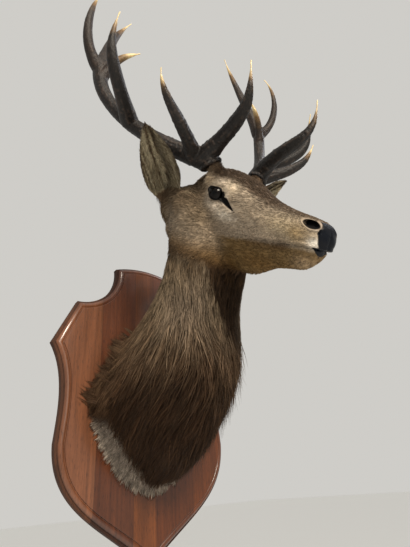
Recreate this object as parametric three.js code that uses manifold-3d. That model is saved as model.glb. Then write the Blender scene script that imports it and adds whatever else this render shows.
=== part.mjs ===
// Red deer stag: a head and neck mount on its shield-shaped mahogany board, life size.
// Millimetres, +Z up. The origin is the middle of the board's flat back. The wall lies at y = 0,
// and the stag looks out along -Y, so its right side is the -X side.
import * as THREE from "three";
import { mergeVertices } from "three/addons/utils/BufferGeometryUtils.js";
import Module from "manifold-3d";

const wasm = await Module();
wasm.setup();

// ---- driving dimensions -------------------------------------------------------------------
const GAP = 0.3; // clear space between neighbouring pieces
const BOARD_HEIGHT = 667;
const BOARD_THICK = 24;
const MOULDING_WIDTH = 19; // the worked edge round the flat field
const PLATE = { width: 34, height: 84, thick: 2.5, up: 210 }; // steel hanging plate
const KEYHOLE = { head: 7, shank: 3.5, rise: 20 }; // its screw hole: two radii and the slot's length
const SCREW_ROOM = { width: 22, height: 50, depth: 13 }; // hollow in the board behind the keyhole

const HEAD_OUT = 392; // the middle between the eyes, out from the wall
const HEAD_UP = 322; // and above the middle of the board
const HEAD_PITCH = THREE.MathUtils.degToRad(46); // how far the face points below level
const HEAD_TILT = THREE.MathUtils.degToRad(6); // the left side is carried a little higher

const EYE_RADIUS = 17;
const EYE_SIDE = 59; // eyeball centre, sideways from the middle of the head
const EYE_BACK = 4; // and behind the brow line
const EAR_LENGTH = 175;
const EAR_HALF_WIDTH = 40;
const EAR_THICK = 9;
const EAR_FOOT = 12; // how far up from its root the free ear begins
const PEDICLE_RADIUS = 25;
const CORONET_RADIUS = 30;
const CORONET_HEIGHT = 11;
const TINE_TIP_RADIUS = 1.6;

// ---- colours and finishes -------------------------------------------------------------------
const finish = (color, roughness, metalness = 0) =>
  new THREE.MeshStandardMaterial({ color, roughness, metalness });
const mahogany = finish("#7d4a31", 0.35);
const steel = finish("#8d8f90", 0.4, 1);
const coatDark = finish("#5a4636", 0.95);
const coatGrey = finish("#7a6a58", 0.95);
const coatTan = finish("#8d7558", 0.9);
const noseSkin = finish("#1b1a1c", 0.4);
const eyeGlass = finish("#0d0b0b", 0.05);
const antlerBrown = finish("#43342b", 0.6);

const model = new THREE.Group();

// ---- solids -----------------------------------------------------------------------------------
// A closed geometry as a solid with its faces pointing out.
function solidFrom(geometry) {
  const bare = new THREE.BufferGeometry();
  bare.setAttribute("position", geometry.getAttribute("position").clone());
  if (geometry.index) bare.setIndex(geometry.index.clone());
  const merged = mergeVertices(bare, 1e-3);
  const place = merged.getAttribute("position");
  const triVerts = new Uint32Array(merged.index.array);
  const [a, b, c] = [new THREE.Vector3(), new THREE.Vector3(), new THREE.Vector3()];
  let sixVolumes = 0;
  for (let i = 0; i < triVerts.length; i += 3) {
    a.fromBufferAttribute(place, triVerts[i]);
    b.fromBufferAttribute(place, triVerts[i + 1]);
    c.fromBufferAttribute(place, triVerts[i + 2]);
    sixVolumes += a.dot(b.cross(c));
  }
  if (sixVolumes < 0) {
    for (let i = 0; i < triVerts.length; i += 3) {
      [triVerts[i + 1], triVerts[i + 2]] = [triVerts[i + 2], triVerts[i + 1]];
    }
  }
  return new wasm.Manifold(
    new wasm.Mesh({ numProp: 3, vertProperties: new Float32Array(place.array), triVerts }),
  );
}

function largestBody(solid) {
  return solid.decompose().reduce((best, body) => (body.volume() > best.volume() ? body : best));
}

function addNode(name, solid, material) {
  const mesh = largestBody(solid).getMesh();
  const geometry = new THREE.BufferGeometry();
  const place = new Float32Array(mesh.numVert * 3);
  for (let i = 0; i < mesh.numVert; i++) {
    for (let k = 0; k < 3; k++) place[3 * i + k] = mesh.vertProperties[i * mesh.numProp + k];
  }
  geometry.setAttribute("position", new THREE.BufferAttribute(place, 3));
  geometry.setIndex(new THREE.BufferAttribute(new Uint32Array(mesh.triVerts), 1));
  geometry.computeVertexNormals();
  const node = new THREE.Mesh(geometry, material);
  node.name = name;
  model.add(node);
}

// The faces between rings that hold the same number of points, laid one after the other.
function bandFaces(rows, around) {
  const faces = [];
  for (let r = 0; r + 1 < rows; r++) {
    for (let i = 0; i < around; i++) {
      const j = (i + 1) % around;
      const [a, b] = [r * around + i, r * around + j];
      faces.push(a, b, b + around, a, b + around, a + around);
    }
  }
  return faces;
}

// A skin drawn over a row of rings, closed by a fan at each end.
function loft(rings) {
  const around = rings[0].length;
  const points = rings.flat();
  const faces = bandFaces(rings.length, around);
  for (const start of [0, (rings.length - 1) * around]) {
    const middle = new THREE.Vector3();
    for (let i = 0; i < around; i++) middle.addScaledVector(points[start + i], 1 / around);
    const hub = points.push(middle) - 1;
    for (let i = 0; i < around; i++) {
      const [a, b] = [start + i, start + ((i + 1) % around)];
      if (start === 0) faces.push(hub, b, a);
      else faces.push(hub, a, b);
    }
  }
  const geometry = new THREE.BufferGeometry().setFromPoints(points);
  geometry.setIndex(faces);
  return solidFrom(geometry);
}

// Everything on the side of a plane that its normal points to, starting half a gap past it.
function beyond(point, normal) {
  const size = 2000;
  const block = new THREE.BoxGeometry(size, size, size);
  block.translate(0, 0, size / 2 + GAP / 2);
  const turn = new THREE.Quaternion().setFromUnitVectors(
    new THREE.Vector3(0, 0, 1),
    normal.clone().normalize(),
  );
  block.applyQuaternion(turn);
  block.translate(point.x, point.y, point.z);
  return solidFrom(block);
}
const behind = (point, normal) => beyond(point, normal.clone().negate());

const power = (value, exponent) => Math.sign(value) * Math.abs(value) ** exponent;

// Smooth in-between rows of a table of rows, such as the stations of a body.
function refine(rows, steps) {
  const columns = rows[0].length;
  const count = (rows.length - 1) * steps;
  const at = (i) => rows[Math.min(rows.length - 1, Math.max(0, i))];
  return Array.from({ length: count + 1 }, (_, n) => {
    const i = Math.min(rows.length - 2, Math.floor(n / steps));
    const t = n / steps - i;
    return Array.from({ length: columns }, (__, k) => {
      const [p, q, r, s] = [at(i - 1)[k], at(i)[k], at(i + 1)[k], at(i + 2)[k]];
      const bend = (2 * p - 5 * q + 4 * r - s) * t * t + (3 * q - p - 3 * r + s) * t * t * t;
      return q + 0.5 * ((r - p) * t + bend);
    });
  });
}

// ---- board ------------------------------------------------------------------------------------
// Half of the shield's outline seen from the front, down from the middle of its top edge: a full
// belly, a slight waist, a bevelled shoulder, a hollow notch and a low arch. Each corner or curve
// handle gives its place, then how far it moves for each millimetre the outline is drawn inwards.
const SHIELD = {
  tip: [0, -BOARD_HEIGHT, 0, 1.25],
  bellyLow: [100, -588, -0.6, 0.8],
  bellyHigh: [207, -560, -0.95, 0.45],
  waist: [212, -440, -1, 0],
  sideLow: [208, -385, -1, 0],
  sideHigh: [197, -300, -1, 0],
  shoulder: [239, -236, -1.3, -0.12],
  notchFoot: [190, -130, -0.68, -1.01],
  horn: [95, -18, -1.13, -0.63],
  arch: [50, 0, -0.55, -1],
  crest: [0, 0, 0, -1],
};
const NOTCH_CENTRE = new THREE.Vector2(194, -37);

function halfShield(inwards) {
  const at = Object.fromEntries(
    Object.entries(SHIELD).map(([name, [x, z, moveX, moveZ]]) => [
      name,
      new THREE.Vector2(x + moveX * inwards, z + moveZ * inwards),
    ]),
  );
  const belly = new THREE.CubicBezierCurve(at.tip, at.bellyLow, at.bellyHigh, at.waist);
  const side = new THREE.CubicBezierCurve(at.waist, at.sideLow, at.sideHigh, at.shoulder);
  const top = new THREE.QuadraticBezierCurve(at.horn, at.arch, at.crest);
  const foot = at.notchFoot.clone().sub(NOTCH_CENTRE);
  const horn = at.horn.clone().sub(NOTCH_CENTRE);
  const notch = Array.from({ length: 8 }, (_, i) => {
    const share = i / 7;
    const angle = THREE.MathUtils.lerp(foot.angle(), horn.angle(), share);
    const radius = THREE.MathUtils.lerp(foot.length(), horn.length(), share);
    return new THREE.Vector2(Math.cos(angle), Math.sin(angle))
      .multiplyScalar(radius)
      .add(NOTCH_CENTRE);
  });
  return [
    ...belly.getPoints(8),
    ...side.getPoints(4).slice(1),
    ...notch,
    ...top.getPoints(3).slice(1),
  ];
}

function shieldOutline(inwards) {
  const half = halfShield(inwards);
  const other = half.slice(1, -1).reverse();
  const all = [...half, ...other.map((p) => new THREE.Vector2(-p.x, p.y))];
  return all.map((p) => new THREE.Vector2(p.x, p.y + BOARD_HEIGHT / 2));
}

function boardSolid() {
  // how far out from the wall, and how far in from the edge: a square back edge, a cove, a
  // rounded ovolo, a small quirk and the flat field
  const profile = [
    [0, 0], [14, 0], [15, 1.5], [15.5, 4.5], [18.5, 6], [21.5, 9], [23, 13.5],
    [22, 15.5], [21.8, 17.5], [BOARD_THICK, MOULDING_WIDTH],
  ];
  const rings = profile.map(([out, inwards]) =>
    shieldOutline(inwards).map((p) => new THREE.Vector3(p.x, -out, p.y)),
  );
  const faces = bandFaces(rings.length, rings[0].length);
  const last = (rings.length - 1) * rings[0].length;
  const cap = (inwards) => THREE.ShapeUtils.triangulateShape(shieldOutline(inwards), []);
  for (const [a, b, c] of cap(0)) faces.push(a, c, b);
  for (const [a, b, c] of cap(MOULDING_WIDTH)) faces.push(last + a, last + b, last + c);
  const geometry = new THREE.BufferGeometry().setFromPoints(rings.flat());
  geometry.setIndex(faces);
  return solidFrom(geometry);
}

function box(width, depth, height, x, y, z) {
  return solidFrom(new THREE.BoxGeometry(width, depth, height).translate(x, y, z));
}

// The steel plate let in flush at the back; its round hole and slot take the wall screw.
function hangingPlate() {
  const shape = new THREE.Shape();
  shape.moveTo(-PLATE.width / 2, -PLATE.height / 2);
  shape.lineTo(PLATE.width / 2, -PLATE.height / 2);
  shape.lineTo(PLATE.width / 2, PLATE.height / 2);
  shape.lineTo(-PLATE.width / 2, PLATE.height / 2);
  const keyhole = new THREE.Path();
  keyhole.absarc(0, 0, KEYHOLE.head, Math.PI * 0.66, Math.PI * 2.34, false);
  keyhole.absarc(0, KEYHOLE.rise, KEYHOLE.shank, 0, Math.PI, false);
  shape.holes.push(keyhole);
  const plate = new THREE.ExtrudeGeometry(shape, {
    depth: PLATE.thick,
    bevelEnabled: false,
    curveSegments: 8,
  });
  plate.rotateX(Math.PI / 2);
  plate.translate(0, -GAP, PLATE.up);
  return solidFrom(plate);
}

const seatDepth = PLATE.thick + 2 * GAP;
const seat = box(
  PLATE.width + 2 * GAP, 2 * seatDepth, PLATE.height + 2 * GAP, 0, 0, PLATE.up,
);
const screwRoom = box(
  SCREW_ROOM.width, 2 * SCREW_ROOM.depth, SCREW_ROOM.height, 0, 0, PLATE.up + KEYHOLE.rise / 3,
);
addNode("shield_board", boardSolid().subtract(seat).subtract(screwRoom), mahogany);
addNode("hanging_plate", hangingPlate(), steel);

// ---- the head's own frame: x to the deer's right, y forward along the face, z up ---------------
const headFrame = new THREE.Matrix4()
  .makeTranslation(0, -HEAD_OUT, HEAD_UP)
  .multiply(
    new THREE.Matrix4().makeBasis(
      new THREE.Vector3(-1, 0, 0),
      new THREE.Vector3(0, -Math.cos(HEAD_PITCH), -Math.sin(HEAD_PITCH)),
      new THREE.Vector3(0, -Math.sin(HEAD_PITCH), Math.cos(HEAD_PITCH)),
    ),
  )
  .multiply(new THREE.Matrix4().makeRotationY(HEAD_TILT));
const atHead = (x, y, z) => new THREE.Vector3(x, y, z).applyMatrix4(headFrame);
const headAxis = (x, y, z) => new THREE.Vector3(x, y, z).transformDirection(headFrame);

// ---- neck -------------------------------------------------------------------------------------
// Rows from the board up to the skull: how far out and how high the nape lies, the same for the
// throat, the half width, where between nape and throat it is widest, and how sharply the row
// narrows to the nape and to the throat (1 is an ellipse, more is sharper).
const NECK = [
  [BOARD_THICK + GAP, 166, BOARD_THICK + GAP, -205, 148, 0.48, 1.5, 1.15],
  [78, 186, 122, -176, 142, 0.5, 1.4, 1.1],
  [136, 214, 214, -100, 124, 0.5, 1.2, 1],
  [184, 260, 281, -18, 105, 0.5, 1.05, 0.95],
  [212, 318, 290, 62, 98, 0.5, 1, 0.95],
  [230, 368, 308, 126, 100, 0.47, 1, 0.95],
  [252, 406, 334, 180, 110, 0.44, 1, 0.95],
  [288, 424, 352, 226, 114, 0.42, 1, 0.95],
  [330, 410, 364, 262, 76, 0.42, 1, 1],
];
const AROUND = 20;

function neckSolid() {
  const rings = refine(NECK, 2).map((row) => {
    const [napeOut, napeUp, throatOut, throatUp, half, widest, sharpNape, sharpThroat] = row;
    const nape = new THREE.Vector3(0, -napeOut, napeUp);
    const throat = new THREE.Vector3(0, -throatOut, throatUp);
    return Array.from({ length: AROUND }, (_, i) => {
      const angle = (2 * Math.PI * i) / AROUND;
      const along = Math.cos(angle);
      const sharp = along > 0 ? sharpNape : sharpThroat;
      const reach = along > 0 ? widest : 1 - widest;
      const share = widest - reach * power(along, sharp);
      return nape.clone().lerp(throat, share).setX(half * power(Math.sin(angle), sharp));
    });
  });
  return loft(rings);
}

// ---- head -------------------------------------------------------------------------------------
// Rows along the face from behind the ears to the nose: place, top, bottom, half width, height
// of the widest line, and how full the cheeks are below it (1 is an ellipse, less is squarer).
const FACE = [
  [-150, 20, -70, 44, -25, 1],
  [-120, 46, -112, 62, -25, 0.95],
  [-90, 60, -134, 70, -20, 0.9],
  [-55, 66, -146, 73, -12, 0.88],
  [-20, 63, -150, 74, -3, 0.88],
  [10, 57, -146, 71, 0, 0.9],
  [45, 47, -134, 61, -6, 0.92],
  [85, 34, -134, 51, -14, 0.95],
  [118, 25, -128, 44, -18, 0.97],
  [142, 21, -110, 40, -20, 0.95],
  [168, 18, -93, 37, -20, 0.92],
  [200, 17, -83, 34, -18, 0.88],
  [228, 16, -74, 34, -14, 0.85],
  [246, 12, -58, 30, -12, 0.85],
  [257, 5, -42, 22, -13, 0.9],
  [263, -6, -26, 10, -15, 1],
];

function faceSolid() {
  const rings = FACE.map(([y, top, bottom, half, widest, fullness]) =>
    Array.from({ length: AROUND }, (_, i) => {
      const angle = (2 * Math.PI * i) / AROUND;
      const [across, upward] = [Math.cos(angle), Math.sin(angle)];
      const side = half * power(across, upward < 0 ? fullness : 0.9);
      const rise = upward < 0 ? widest + (widest - bottom) * upward : widest + (top - widest) * upward;
      return atHead(side, y, rise);
    }),
  );
  return loft(rings);
}

const eyeball = (side, radius) => {
  const ball = new THREE.SphereGeometry(radius, 14, 9);
  const centre = atHead(side * EYE_SIDE, -EYE_BACK, 0);
  return solidFrom(ball.translate(centre.x, centre.y, centre.z));
};

// ---- antlers ------------------------------------------------------------------------------------
// The right antler in the head's frame. Each length is a cubic curve; a tine starts inside the
// length it grows from, at a share of the whole beam.
const CORONET = [66, -62, 58];
const BEAM = [CORONET, [139, -151, 64], [273, -284, 79], [258, -368, 206]];
const TINES = {
  brow: { from: 0.05, bend: [[52, -7, 169], [83, 57, 160]], tip: [83, 1, 256], radius: 16.5 },
  bez: { from: 0.1, bend: [[158, -43, 113], [210, -73, 143]], tip: [216, -85, 193], radius: 14 },
  trez: { from: 0.52, bend: [[301, -143, 186], [297, -192, 208]], tip: [283, -209, 284], radius: 15 },
  crown_back: { from: 0.96, bend: [[327, -375, 238], [301, -384, 329]], tip: [279, -466, 364], radius: 13 },
  crown_top: { from: 0.96, bend: [[231, -441, 271], [213, -516, 309]], tip: [162, -546, 373], radius: 15 },
  crown_front: { from: 0.88, bend: [[235, -350, 232], [205, -352, 246]], tip: [176, -352, 264], radius: 11 },
};
const BEAM_RADII = [21, 17.5, 15, 17.5]; // at the coronet, at the bez, under the fork, at the palm
const BEAM_CUTS = [0.32, 0.74]; // where the beam is parted, past the bez and past the trez
const ANTLER_SIDES = 9;
const CORONET_SIDES = 20;

// The left antler mirrors the right one, then turns a little about its own coronet.
const LEFT_TURN = new THREE.Euler(
  THREE.MathUtils.degToRad(-4.3),
  THREE.MathUtils.degToRad(-2),
  THREE.MathUtils.degToRad(3.6),
);

function antlerPoint([x, y, z], side) {
  const point = new THREE.Vector3(side * x, y, z);
  if (side > 0) return point;
  const coronet = new THREE.Vector3(-CORONET[0], CORONET[1], CORONET[2]);
  return point.sub(coronet).applyEuler(LEFT_TURN).add(coronet);
}

const antlerCurve = (points, side) =>
  new THREE.CubicBezierCurve3(
    ...points.map((p) => antlerPoint(p, side).applyMatrix4(headFrame)),
  );

// A rod along part of a curve; its radius is a function of the place on the curve.
function rod(curve, from, to, steps, radiusAt) {
  const rings = [];
  let across = new THREE.Vector3(0, 1, 0.3);
  for (let n = 0; n <= steps; n++) {
    const t = from + ((to - from) * n) / steps;
    const middle = curve.getPoint(t);
    const along = curve.getTangent(t);
    across = across.clone().addScaledVector(along, -across.dot(along)).normalize();
    const other = new THREE.Vector3().crossVectors(along, across);
    const radius = radiusAt(t);
    rings.push(
      Array.from({ length: ANTLER_SIDES }, (_, i) => {
        const angle = (2 * Math.PI * i) / ANTLER_SIDES;
        return middle
          .clone()
          .addScaledVector(across, radius * Math.cos(angle))
          .addScaledVector(other, radius * Math.sin(angle));
      }),
    );
  }
  return loft(rings);
}

function beamRadius(t) {
  const place = Math.min(2.999, t * 3);
  const step = Math.floor(place);
  return THREE.MathUtils.lerp(BEAM_RADII[step], BEAM_RADII[step + 1], place - step);
}
const tineRadius = (base) => (t) => Math.max(TINE_TIP_RADIUS, base * (1 - t ** 1.7));

// The pearled ring at the foot of the antler, a drum with a fluted rim.
function coronetSolid(curve, extra = 0) {
  const height = CORONET_HEIGHT + 2 * extra;
  const rings = [-0.5, -0.25, 0.25, 0.5].map((share) => {
    const swell = Math.abs(share) === 0.5 ? 0.84 : 1;
    const along = curve.getTangent(0);
    const middle = curve.getPoint(0).addScaledVector(along, height * share);
    const across = new THREE.Vector3(0, 0, 1).addScaledVector(along, -along.z).normalize();
    const other = new THREE.Vector3().crossVectors(along, across);
    return Array.from({ length: CORONET_SIDES }, (_, i) => {
      const angle = (2 * Math.PI * i) / CORONET_SIDES;
      const radius = CORONET_RADIUS * swell * (i % 2 ? 1 : 0.94) + extra;
      return middle
        .clone()
        .addScaledVector(across, radius * Math.cos(angle))
        .addScaledVector(other, radius * Math.sin(angle));
    });
  });
  return loft(rings);
}

const beamLine = new THREE.CubicBezierCurve3(...BEAM.map((p) => new THREE.Vector3(...p)));

function antler(side, suffix) {
  const beam = antlerCurve(BEAM, side);
  const step = GAP / 2 / beam.getLength();
  const lengths = [
    ["lower_beam", 0, BEAM_CUTS[0]],
    ["middle_beam", BEAM_CUTS[0], BEAM_CUTS[1]],
    ["upper_beam", BEAM_CUTS[1], 1],
  ];
  // each tine is cut back to the beam and to the tines before it
  const taken = [coronetSolid(beam)];
  for (const [name, from, to] of lengths) {
    let solid = rod(beam, from + (from > 0 ? step : 0), to - (to < 1 ? step : 0), 5, beamRadius);
    if (from === 0) solid = solid.add(coronetSolid(beam));
    addNode(`antler_${name}_${suffix}`, solid, antlerBrown);
    taken.push(rod(beam, from, to, 5, (t) => beamRadius(t) + GAP));
  }
  for (const [name, tine] of Object.entries(TINES)) {
    const root = beamLine.getPoint(tine.from).toArray();
    const curve = antlerCurve([root, ...tine.bend, tine.tip], side);
    const radius = tineRadius(tine.radius);
    let solid = rod(curve, 0, 1, 7, radius);
    for (const other of taken) solid = solid.subtract(other);
    taken.push(rod(curve, 0, 1, 7, (t) => radius(t) + GAP));
    addNode(`antler_${name}_${suffix}`, solid, antlerBrown);
  }
}
antler(1, "R");
antler(-1, "L");

// ---- ears ---------------------------------------------------------------------------------------
// A cupped leaf: a row of flat rings from the root to the tip, each bent round the ear's hollow.
const EAR_ROOT = [102, -124, -40];
const EAR_TIPS = { R: [221, -88, 93], L: [217, -134, 88] }; // the left ear is laid further back
const EAR_FACING = [0.35, 0.92, -0.1]; // the way the hollow looks
const earRootPoint = (side) => new THREE.Vector3(side * EAR_ROOT[0], EAR_ROOT[1], EAR_ROOT[2]);
function earRise(side) {
  const tip = new THREE.Vector3(...EAR_TIPS[side > 0 ? "R" : "L"]);
  return tip.setX(side * tip.x).sub(earRootPoint(side)).normalize();
}

function earSolid(side) {
  const root = earRootPoint(side);
  const along = earRise(side);
  const facing = new THREE.Vector3(side * EAR_FACING[0], EAR_FACING[1], EAR_FACING[2]);
  facing.addScaledVector(along, -facing.dot(along)).normalize();
  const across = new THREE.Vector3().crossVectors(along, facing);
  const stations = 10;
  const columns = 7;
  const rings = [];
  for (let n = 0; n <= stations; n++) {
    const t = n / stations;
    const half = EAR_HALF_WIDTH * Math.max(0.06, Math.sin(Math.PI * (0.14 + 0.86 * t ** 0.9)) ** 0.8);
    const curl = THREE.MathUtils.lerp(1.9, 0.7, t ** 0.6); // half the cup's angle
    const bow = half / Math.sin(Math.min(curl, Math.PI / 2));
    const thick = EAR_THICK * (1.3 - 0.9 * t);
    const ring = [];
    for (const layer of [0, 1]) {
      for (let k = 0; k <= columns; k++) {
        const share = layer ? 1 - k / columns : k / columns;
        const angle = curl * (2 * share - 1);
        const edge = 0.45 + 0.55 * Math.sin(Math.PI * share);
        const reach = bow - layer * thick * edge;
        ring.push(
          root
            .clone()
            .addScaledVector(along, t * EAR_LENGTH)
            .addScaledVector(across, reach * Math.sin(angle))
            .addScaledVector(facing, bow - reach * Math.cos(angle) - 0.4 * bow),
        );
      }
    }
    rings.push(ring.map((p) => p.applyMatrix4(headFrame)));
  }
  return loft(rings);
}

// ---- flesh, parted by thin cuts --------------------------------------------------------------------
function pedicle(side) {
  const curve = antlerCurve(BEAM, side);
  const along = curve.getTangent(0);
  const top = curve.getPoint(0).addScaledVector(along, -0.5 * CORONET_HEIGHT - GAP);
  const foot = atHead(side * 46, -50, 0);
  const shaft = new THREE.LineCurve3(foot, top);
  const solid = rod(shaft, 0, 1, 2, (t) => PEDICLE_RADIUS * (1.2 - 0.2 * t));
  return solid.intersect(behind(top, along));
}

// The thick root that carries each ear, swollen out of the side of the skull.
function earRoot(side, extra = 0) {
  const swell = new THREE.LineCurve3(
    atHead(side * 50, -92, -34),
    atHead(...earRootPoint(side)),
  );
  return rod(swell, 0, 1.12, 4, (t) => 36 - 6 * t - 12 * t ** 8 + extra);
}

// The opening between the lids, which widens outwards from the eyeball.
function eyeOpening(side) {
  const axis = new THREE.Vector3(side * 0.8, 0.58, 0.1).normalize();
  const point = (reach) =>
    atHead(side * EYE_SIDE + axis.x * reach, axis.y * reach - EYE_BACK, axis.z * reach);
  return rod(new THREE.LineCurve3(point(4), point(34)), 0, 1, 1, (t) => 13 + 12 * t);
}

let body = neckSolid().add(faceSolid());
for (const side of [1, -1]) body = body.add(pedicle(side)).add(earRoot(side));
for (const side of [1, -1]) {
  body = body.subtract(eyeball(side, EYE_RADIUS + GAP)).subtract(eyeOpening(side));
  body = body.subtract(coronetSolid(antlerCurve(BEAM, side), GAP));
}

// The head is parted from the neck behind the ears and under the jaw.
const POLL = { point: atHead(0, -128, -20), normal: headAxis(0, 0.93, 0.36) };
const THROAT = { point: atHead(0, 60, -141), normal: headAxis(0, -0.1, 1) };
const NECK_CUTS = [
  { point: new THREE.Vector3(0, -95, 20), normal: new THREE.Vector3(0, -0.8, 0.45) },
  { point: new THREE.Vector3(0, -205, 150), normal: new THREE.Vector3(0, -0.6, 0.8) },
];
const FACE_CUT = { point: atHead(0, 95, 0), normal: headAxis(0, 1, 0) };
const MOUTH_CUT = { point: atHead(0, 262, -32), normal: headAxis(0, -0.16, 1) };
const NOSE_CUT = { point: atHead(0, 252, 0), normal: headAxis(0, 0.97, -0.12) };
const above = (solid, cut) => solid.intersect(beyond(cut.point, cut.normal));
const below = (solid, cut) => solid.intersect(behind(cut.point, cut.normal));

const neck = below(body, POLL).add(below(body, THROAT));
addNode("neck_base", below(neck, NECK_CUTS[0]), coatDark);
addNode("neck_lower", below(above(neck, NECK_CUTS[0]), NECK_CUTS[1]), coatDark);
addNode("neck_upper", above(neck, NECK_CUTS[1]), coatGrey);
const skull = above(above(body, POLL), THROAT);
addNode("head", below(skull, FACE_CUT), coatTan);
const snout = above(skull, FACE_CUT);
addNode("lower_jaw", below(snout, MOUTH_CUT), coatTan);
const upperSnout = above(snout, MOUTH_CUT);
addNode("muzzle", below(upperSnout, NOSE_CUT), coatTan);
addNode("nose_pad", above(upperSnout, NOSE_CUT), noseSkin);
for (const [side, suffix] of [[1, "R"], [-1, "L"]]) {
  const rise = earRise(side);
  const foot = earRootPoint(side).addScaledVector(rise, EAR_FOOT);
  const blade = earSolid(side).intersect(beyond(atHead(...foot), headAxis(...rise)));
  const ear = blade.subtract(earRoot(side, 2 * GAP)).subtract(body);
  addNode(`ear_${suffix}`, ear, coatGrey);
  addNode(`eye_${suffix}`, eyeball(side, EYE_RADIUS), eyeGlass);
}

export default model;
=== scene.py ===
import itertools
import math
from functools import partial

import bmesh
import bpy
import numpy as np
from mathutils import Matrix, Vector
from mathutils.bvhtree import BVHTree
from mathutils.kdtree import KDTree


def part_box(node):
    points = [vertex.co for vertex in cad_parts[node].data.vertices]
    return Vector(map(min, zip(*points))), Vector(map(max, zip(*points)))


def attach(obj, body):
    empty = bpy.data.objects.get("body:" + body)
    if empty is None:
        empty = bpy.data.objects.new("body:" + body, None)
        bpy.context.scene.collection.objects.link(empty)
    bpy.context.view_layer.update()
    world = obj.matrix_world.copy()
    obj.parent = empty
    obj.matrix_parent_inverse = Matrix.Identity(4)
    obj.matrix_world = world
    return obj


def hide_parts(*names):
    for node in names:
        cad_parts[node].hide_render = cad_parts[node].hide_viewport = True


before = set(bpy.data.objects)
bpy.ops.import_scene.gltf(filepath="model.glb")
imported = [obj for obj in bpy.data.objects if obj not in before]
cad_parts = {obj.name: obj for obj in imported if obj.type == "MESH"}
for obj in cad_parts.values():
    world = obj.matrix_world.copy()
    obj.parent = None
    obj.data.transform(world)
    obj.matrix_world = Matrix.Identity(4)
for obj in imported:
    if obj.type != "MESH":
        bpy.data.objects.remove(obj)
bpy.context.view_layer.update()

# ---- viewpoint ----------------------------------------------------------------------------
# The mount hangs above eye level, so it is seen from below and from the stag's right, with a
# short lens that is turned a little about its own axis.
VIEW_FROM = (-0.5012, -0.839, -0.2099)
YAW, PITCH, ROLL = (math.radians(angle) for angle in (40.72, 28.86, -5.01))


def linked(name, data):
    """A new object in the scene."""
    made = bpy.data.objects.new(name, data)
    bpy.context.scene.collection.objects.link(made)
    return made


camera = linked("camera", bpy.data.cameras.new("camera"))
camera.data.lens, camera.data.sensor_width = 26.0, 36.0
camera.data.clip_start, camera.data.clip_end = 0.05, 60
forward = Vector((math.sin(YAW) * math.cos(PITCH), math.cos(YAW) * math.cos(PITCH), math.sin(PITCH)))
level = forward.cross(Vector((0, 0, 1))).normalized()
right = level * math.cos(ROLL) + level.cross(forward) * math.sin(ROLL)
turn = Matrix((right, right.cross(forward), -forward)).transposed()
camera.matrix_world = Matrix.Translation(VIEW_FROM) @ turn.to_4x4()
bpy.context.scene.camera = camera

# ---- studio -------------------------------------------------------------------------------
# A plain pale floor well below the mount, a pale even surround, one soft light from above and in
# front, and a weaker one high on the stag's left.
FLOOR_HALF, FLOOR_LEVEL = 40, -1.6
LIGHTS = {  # place, what it shines at, side of the square, power, colour
    "key": ((-0.75, -3.0, 1.75), (0, -0.35, 0.3), 0.9, 150, "#fff3e2"),
    "rim": ((2.0, -0.9, 2.6), (0, -0.3, 0.2), 1.2, 26, "#f4f6ff"),
}


def linear(hex_colour, alpha=1.0):
    channels = [int(hex_colour[i : i + 2], 16) / 255 for i in (1, 3, 5)]
    curve = lambda c: c / 12.92 if c <= 0.04045 else ((c + 0.055) / 1.055) ** 2.4
    return (*(curve(c) for c in channels), alpha)


def set_inputs(node, inputs):
    """Gives each socket of a node a value, or the link that brings one."""
    for socket, value in inputs.items():
        if isinstance(value, bpy.types.NodeSocket):
            node.id_data.links.new(value, node.inputs[socket])
        else:
            node.inputs[socket].default_value = value


def add_node(tree, kind, inputs, **settings):
    made = tree.nodes.new("ShaderNode" + kind)
    for key, value in settings.items():
        setattr(made, key, value)
    set_inputs(made, inputs)
    return made


def calc(tree, operation, *values):
    return add_node(tree, "Math", dict(enumerate(values)), operation=operation).outputs[0]


def remap(tree, value, start, end, low, high):
    """A value from start to end, as one from low to high."""
    return add_node(tree, "MapRange", {0: value, 1: start, 2: end, 3: low, 4: high}).outputs[0]


def blend(tree, share, low, high):
    return add_node(tree, "Mix", {0: share, 2: low, 3: high}, data_type="FLOAT").outputs[0]


def dimmed(tree, colour, factor):
    return add_node(tree, "VectorMath", {0: colour, "Scale": factor}, operation="SCALE").outputs[0]


def stretched(tree, coords, factors):
    return add_node(tree, "VectorMath", {0: coords, 1: factors}, operation="MULTIPLY").outputs[0]


def noise(tree, coords, scale, detail, **more):
    kind = {"noise_dimensions": "4D"} if "W" in more else {}
    return add_node(tree, "TexNoise", {"Vector": coords, "Scale": scale, "Detail": detail, **more}, **kind).outputs[0]


def bump(tree, height, strength, distance):
    return add_node(tree, "Bump", {"Height": height, "Strength": strength, "Distance": distance}).outputs[0]


def painted(tree, name):
    """What is painted on the points of a mesh under this name."""
    return add_node(tree, "Attribute", {}, attribute_name=name).outputs


def new_finish(name):
    """A material, its nodes and its shader."""
    made = bpy.data.materials.new(name)
    made.use_nodes = True
    return made, made.node_tree, made.node_tree.nodes["Principled BSDF"]


def places_on(tree):
    """Places in the object's own frame."""
    return add_node(tree, "TexCoord", {}).outputs["Object"]


bpy.context.scene.view_settings.view_transform = "Standard"
surround = bpy.data.worlds.new("surround")
surround.use_nodes = True
set_inputs(surround.node_tree.nodes["Background"], {"Color": linear("#dddbd6"), "Strength": 0.86})
bpy.context.scene.world = surround

for name, (place, target, side, power, tint) in LIGHTS.items():
    lamp = bpy.data.lights.new(name, "AREA")
    lamp.size, lamp.energy, lamp.color = side, power, linear(tint)[:3]
    holder = linked(name, lamp)
    holder.location = place
    holder.rotation_euler = (Vector(target) - Vector(place)).to_track_quat("-Z", "Y").to_euler()

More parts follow.
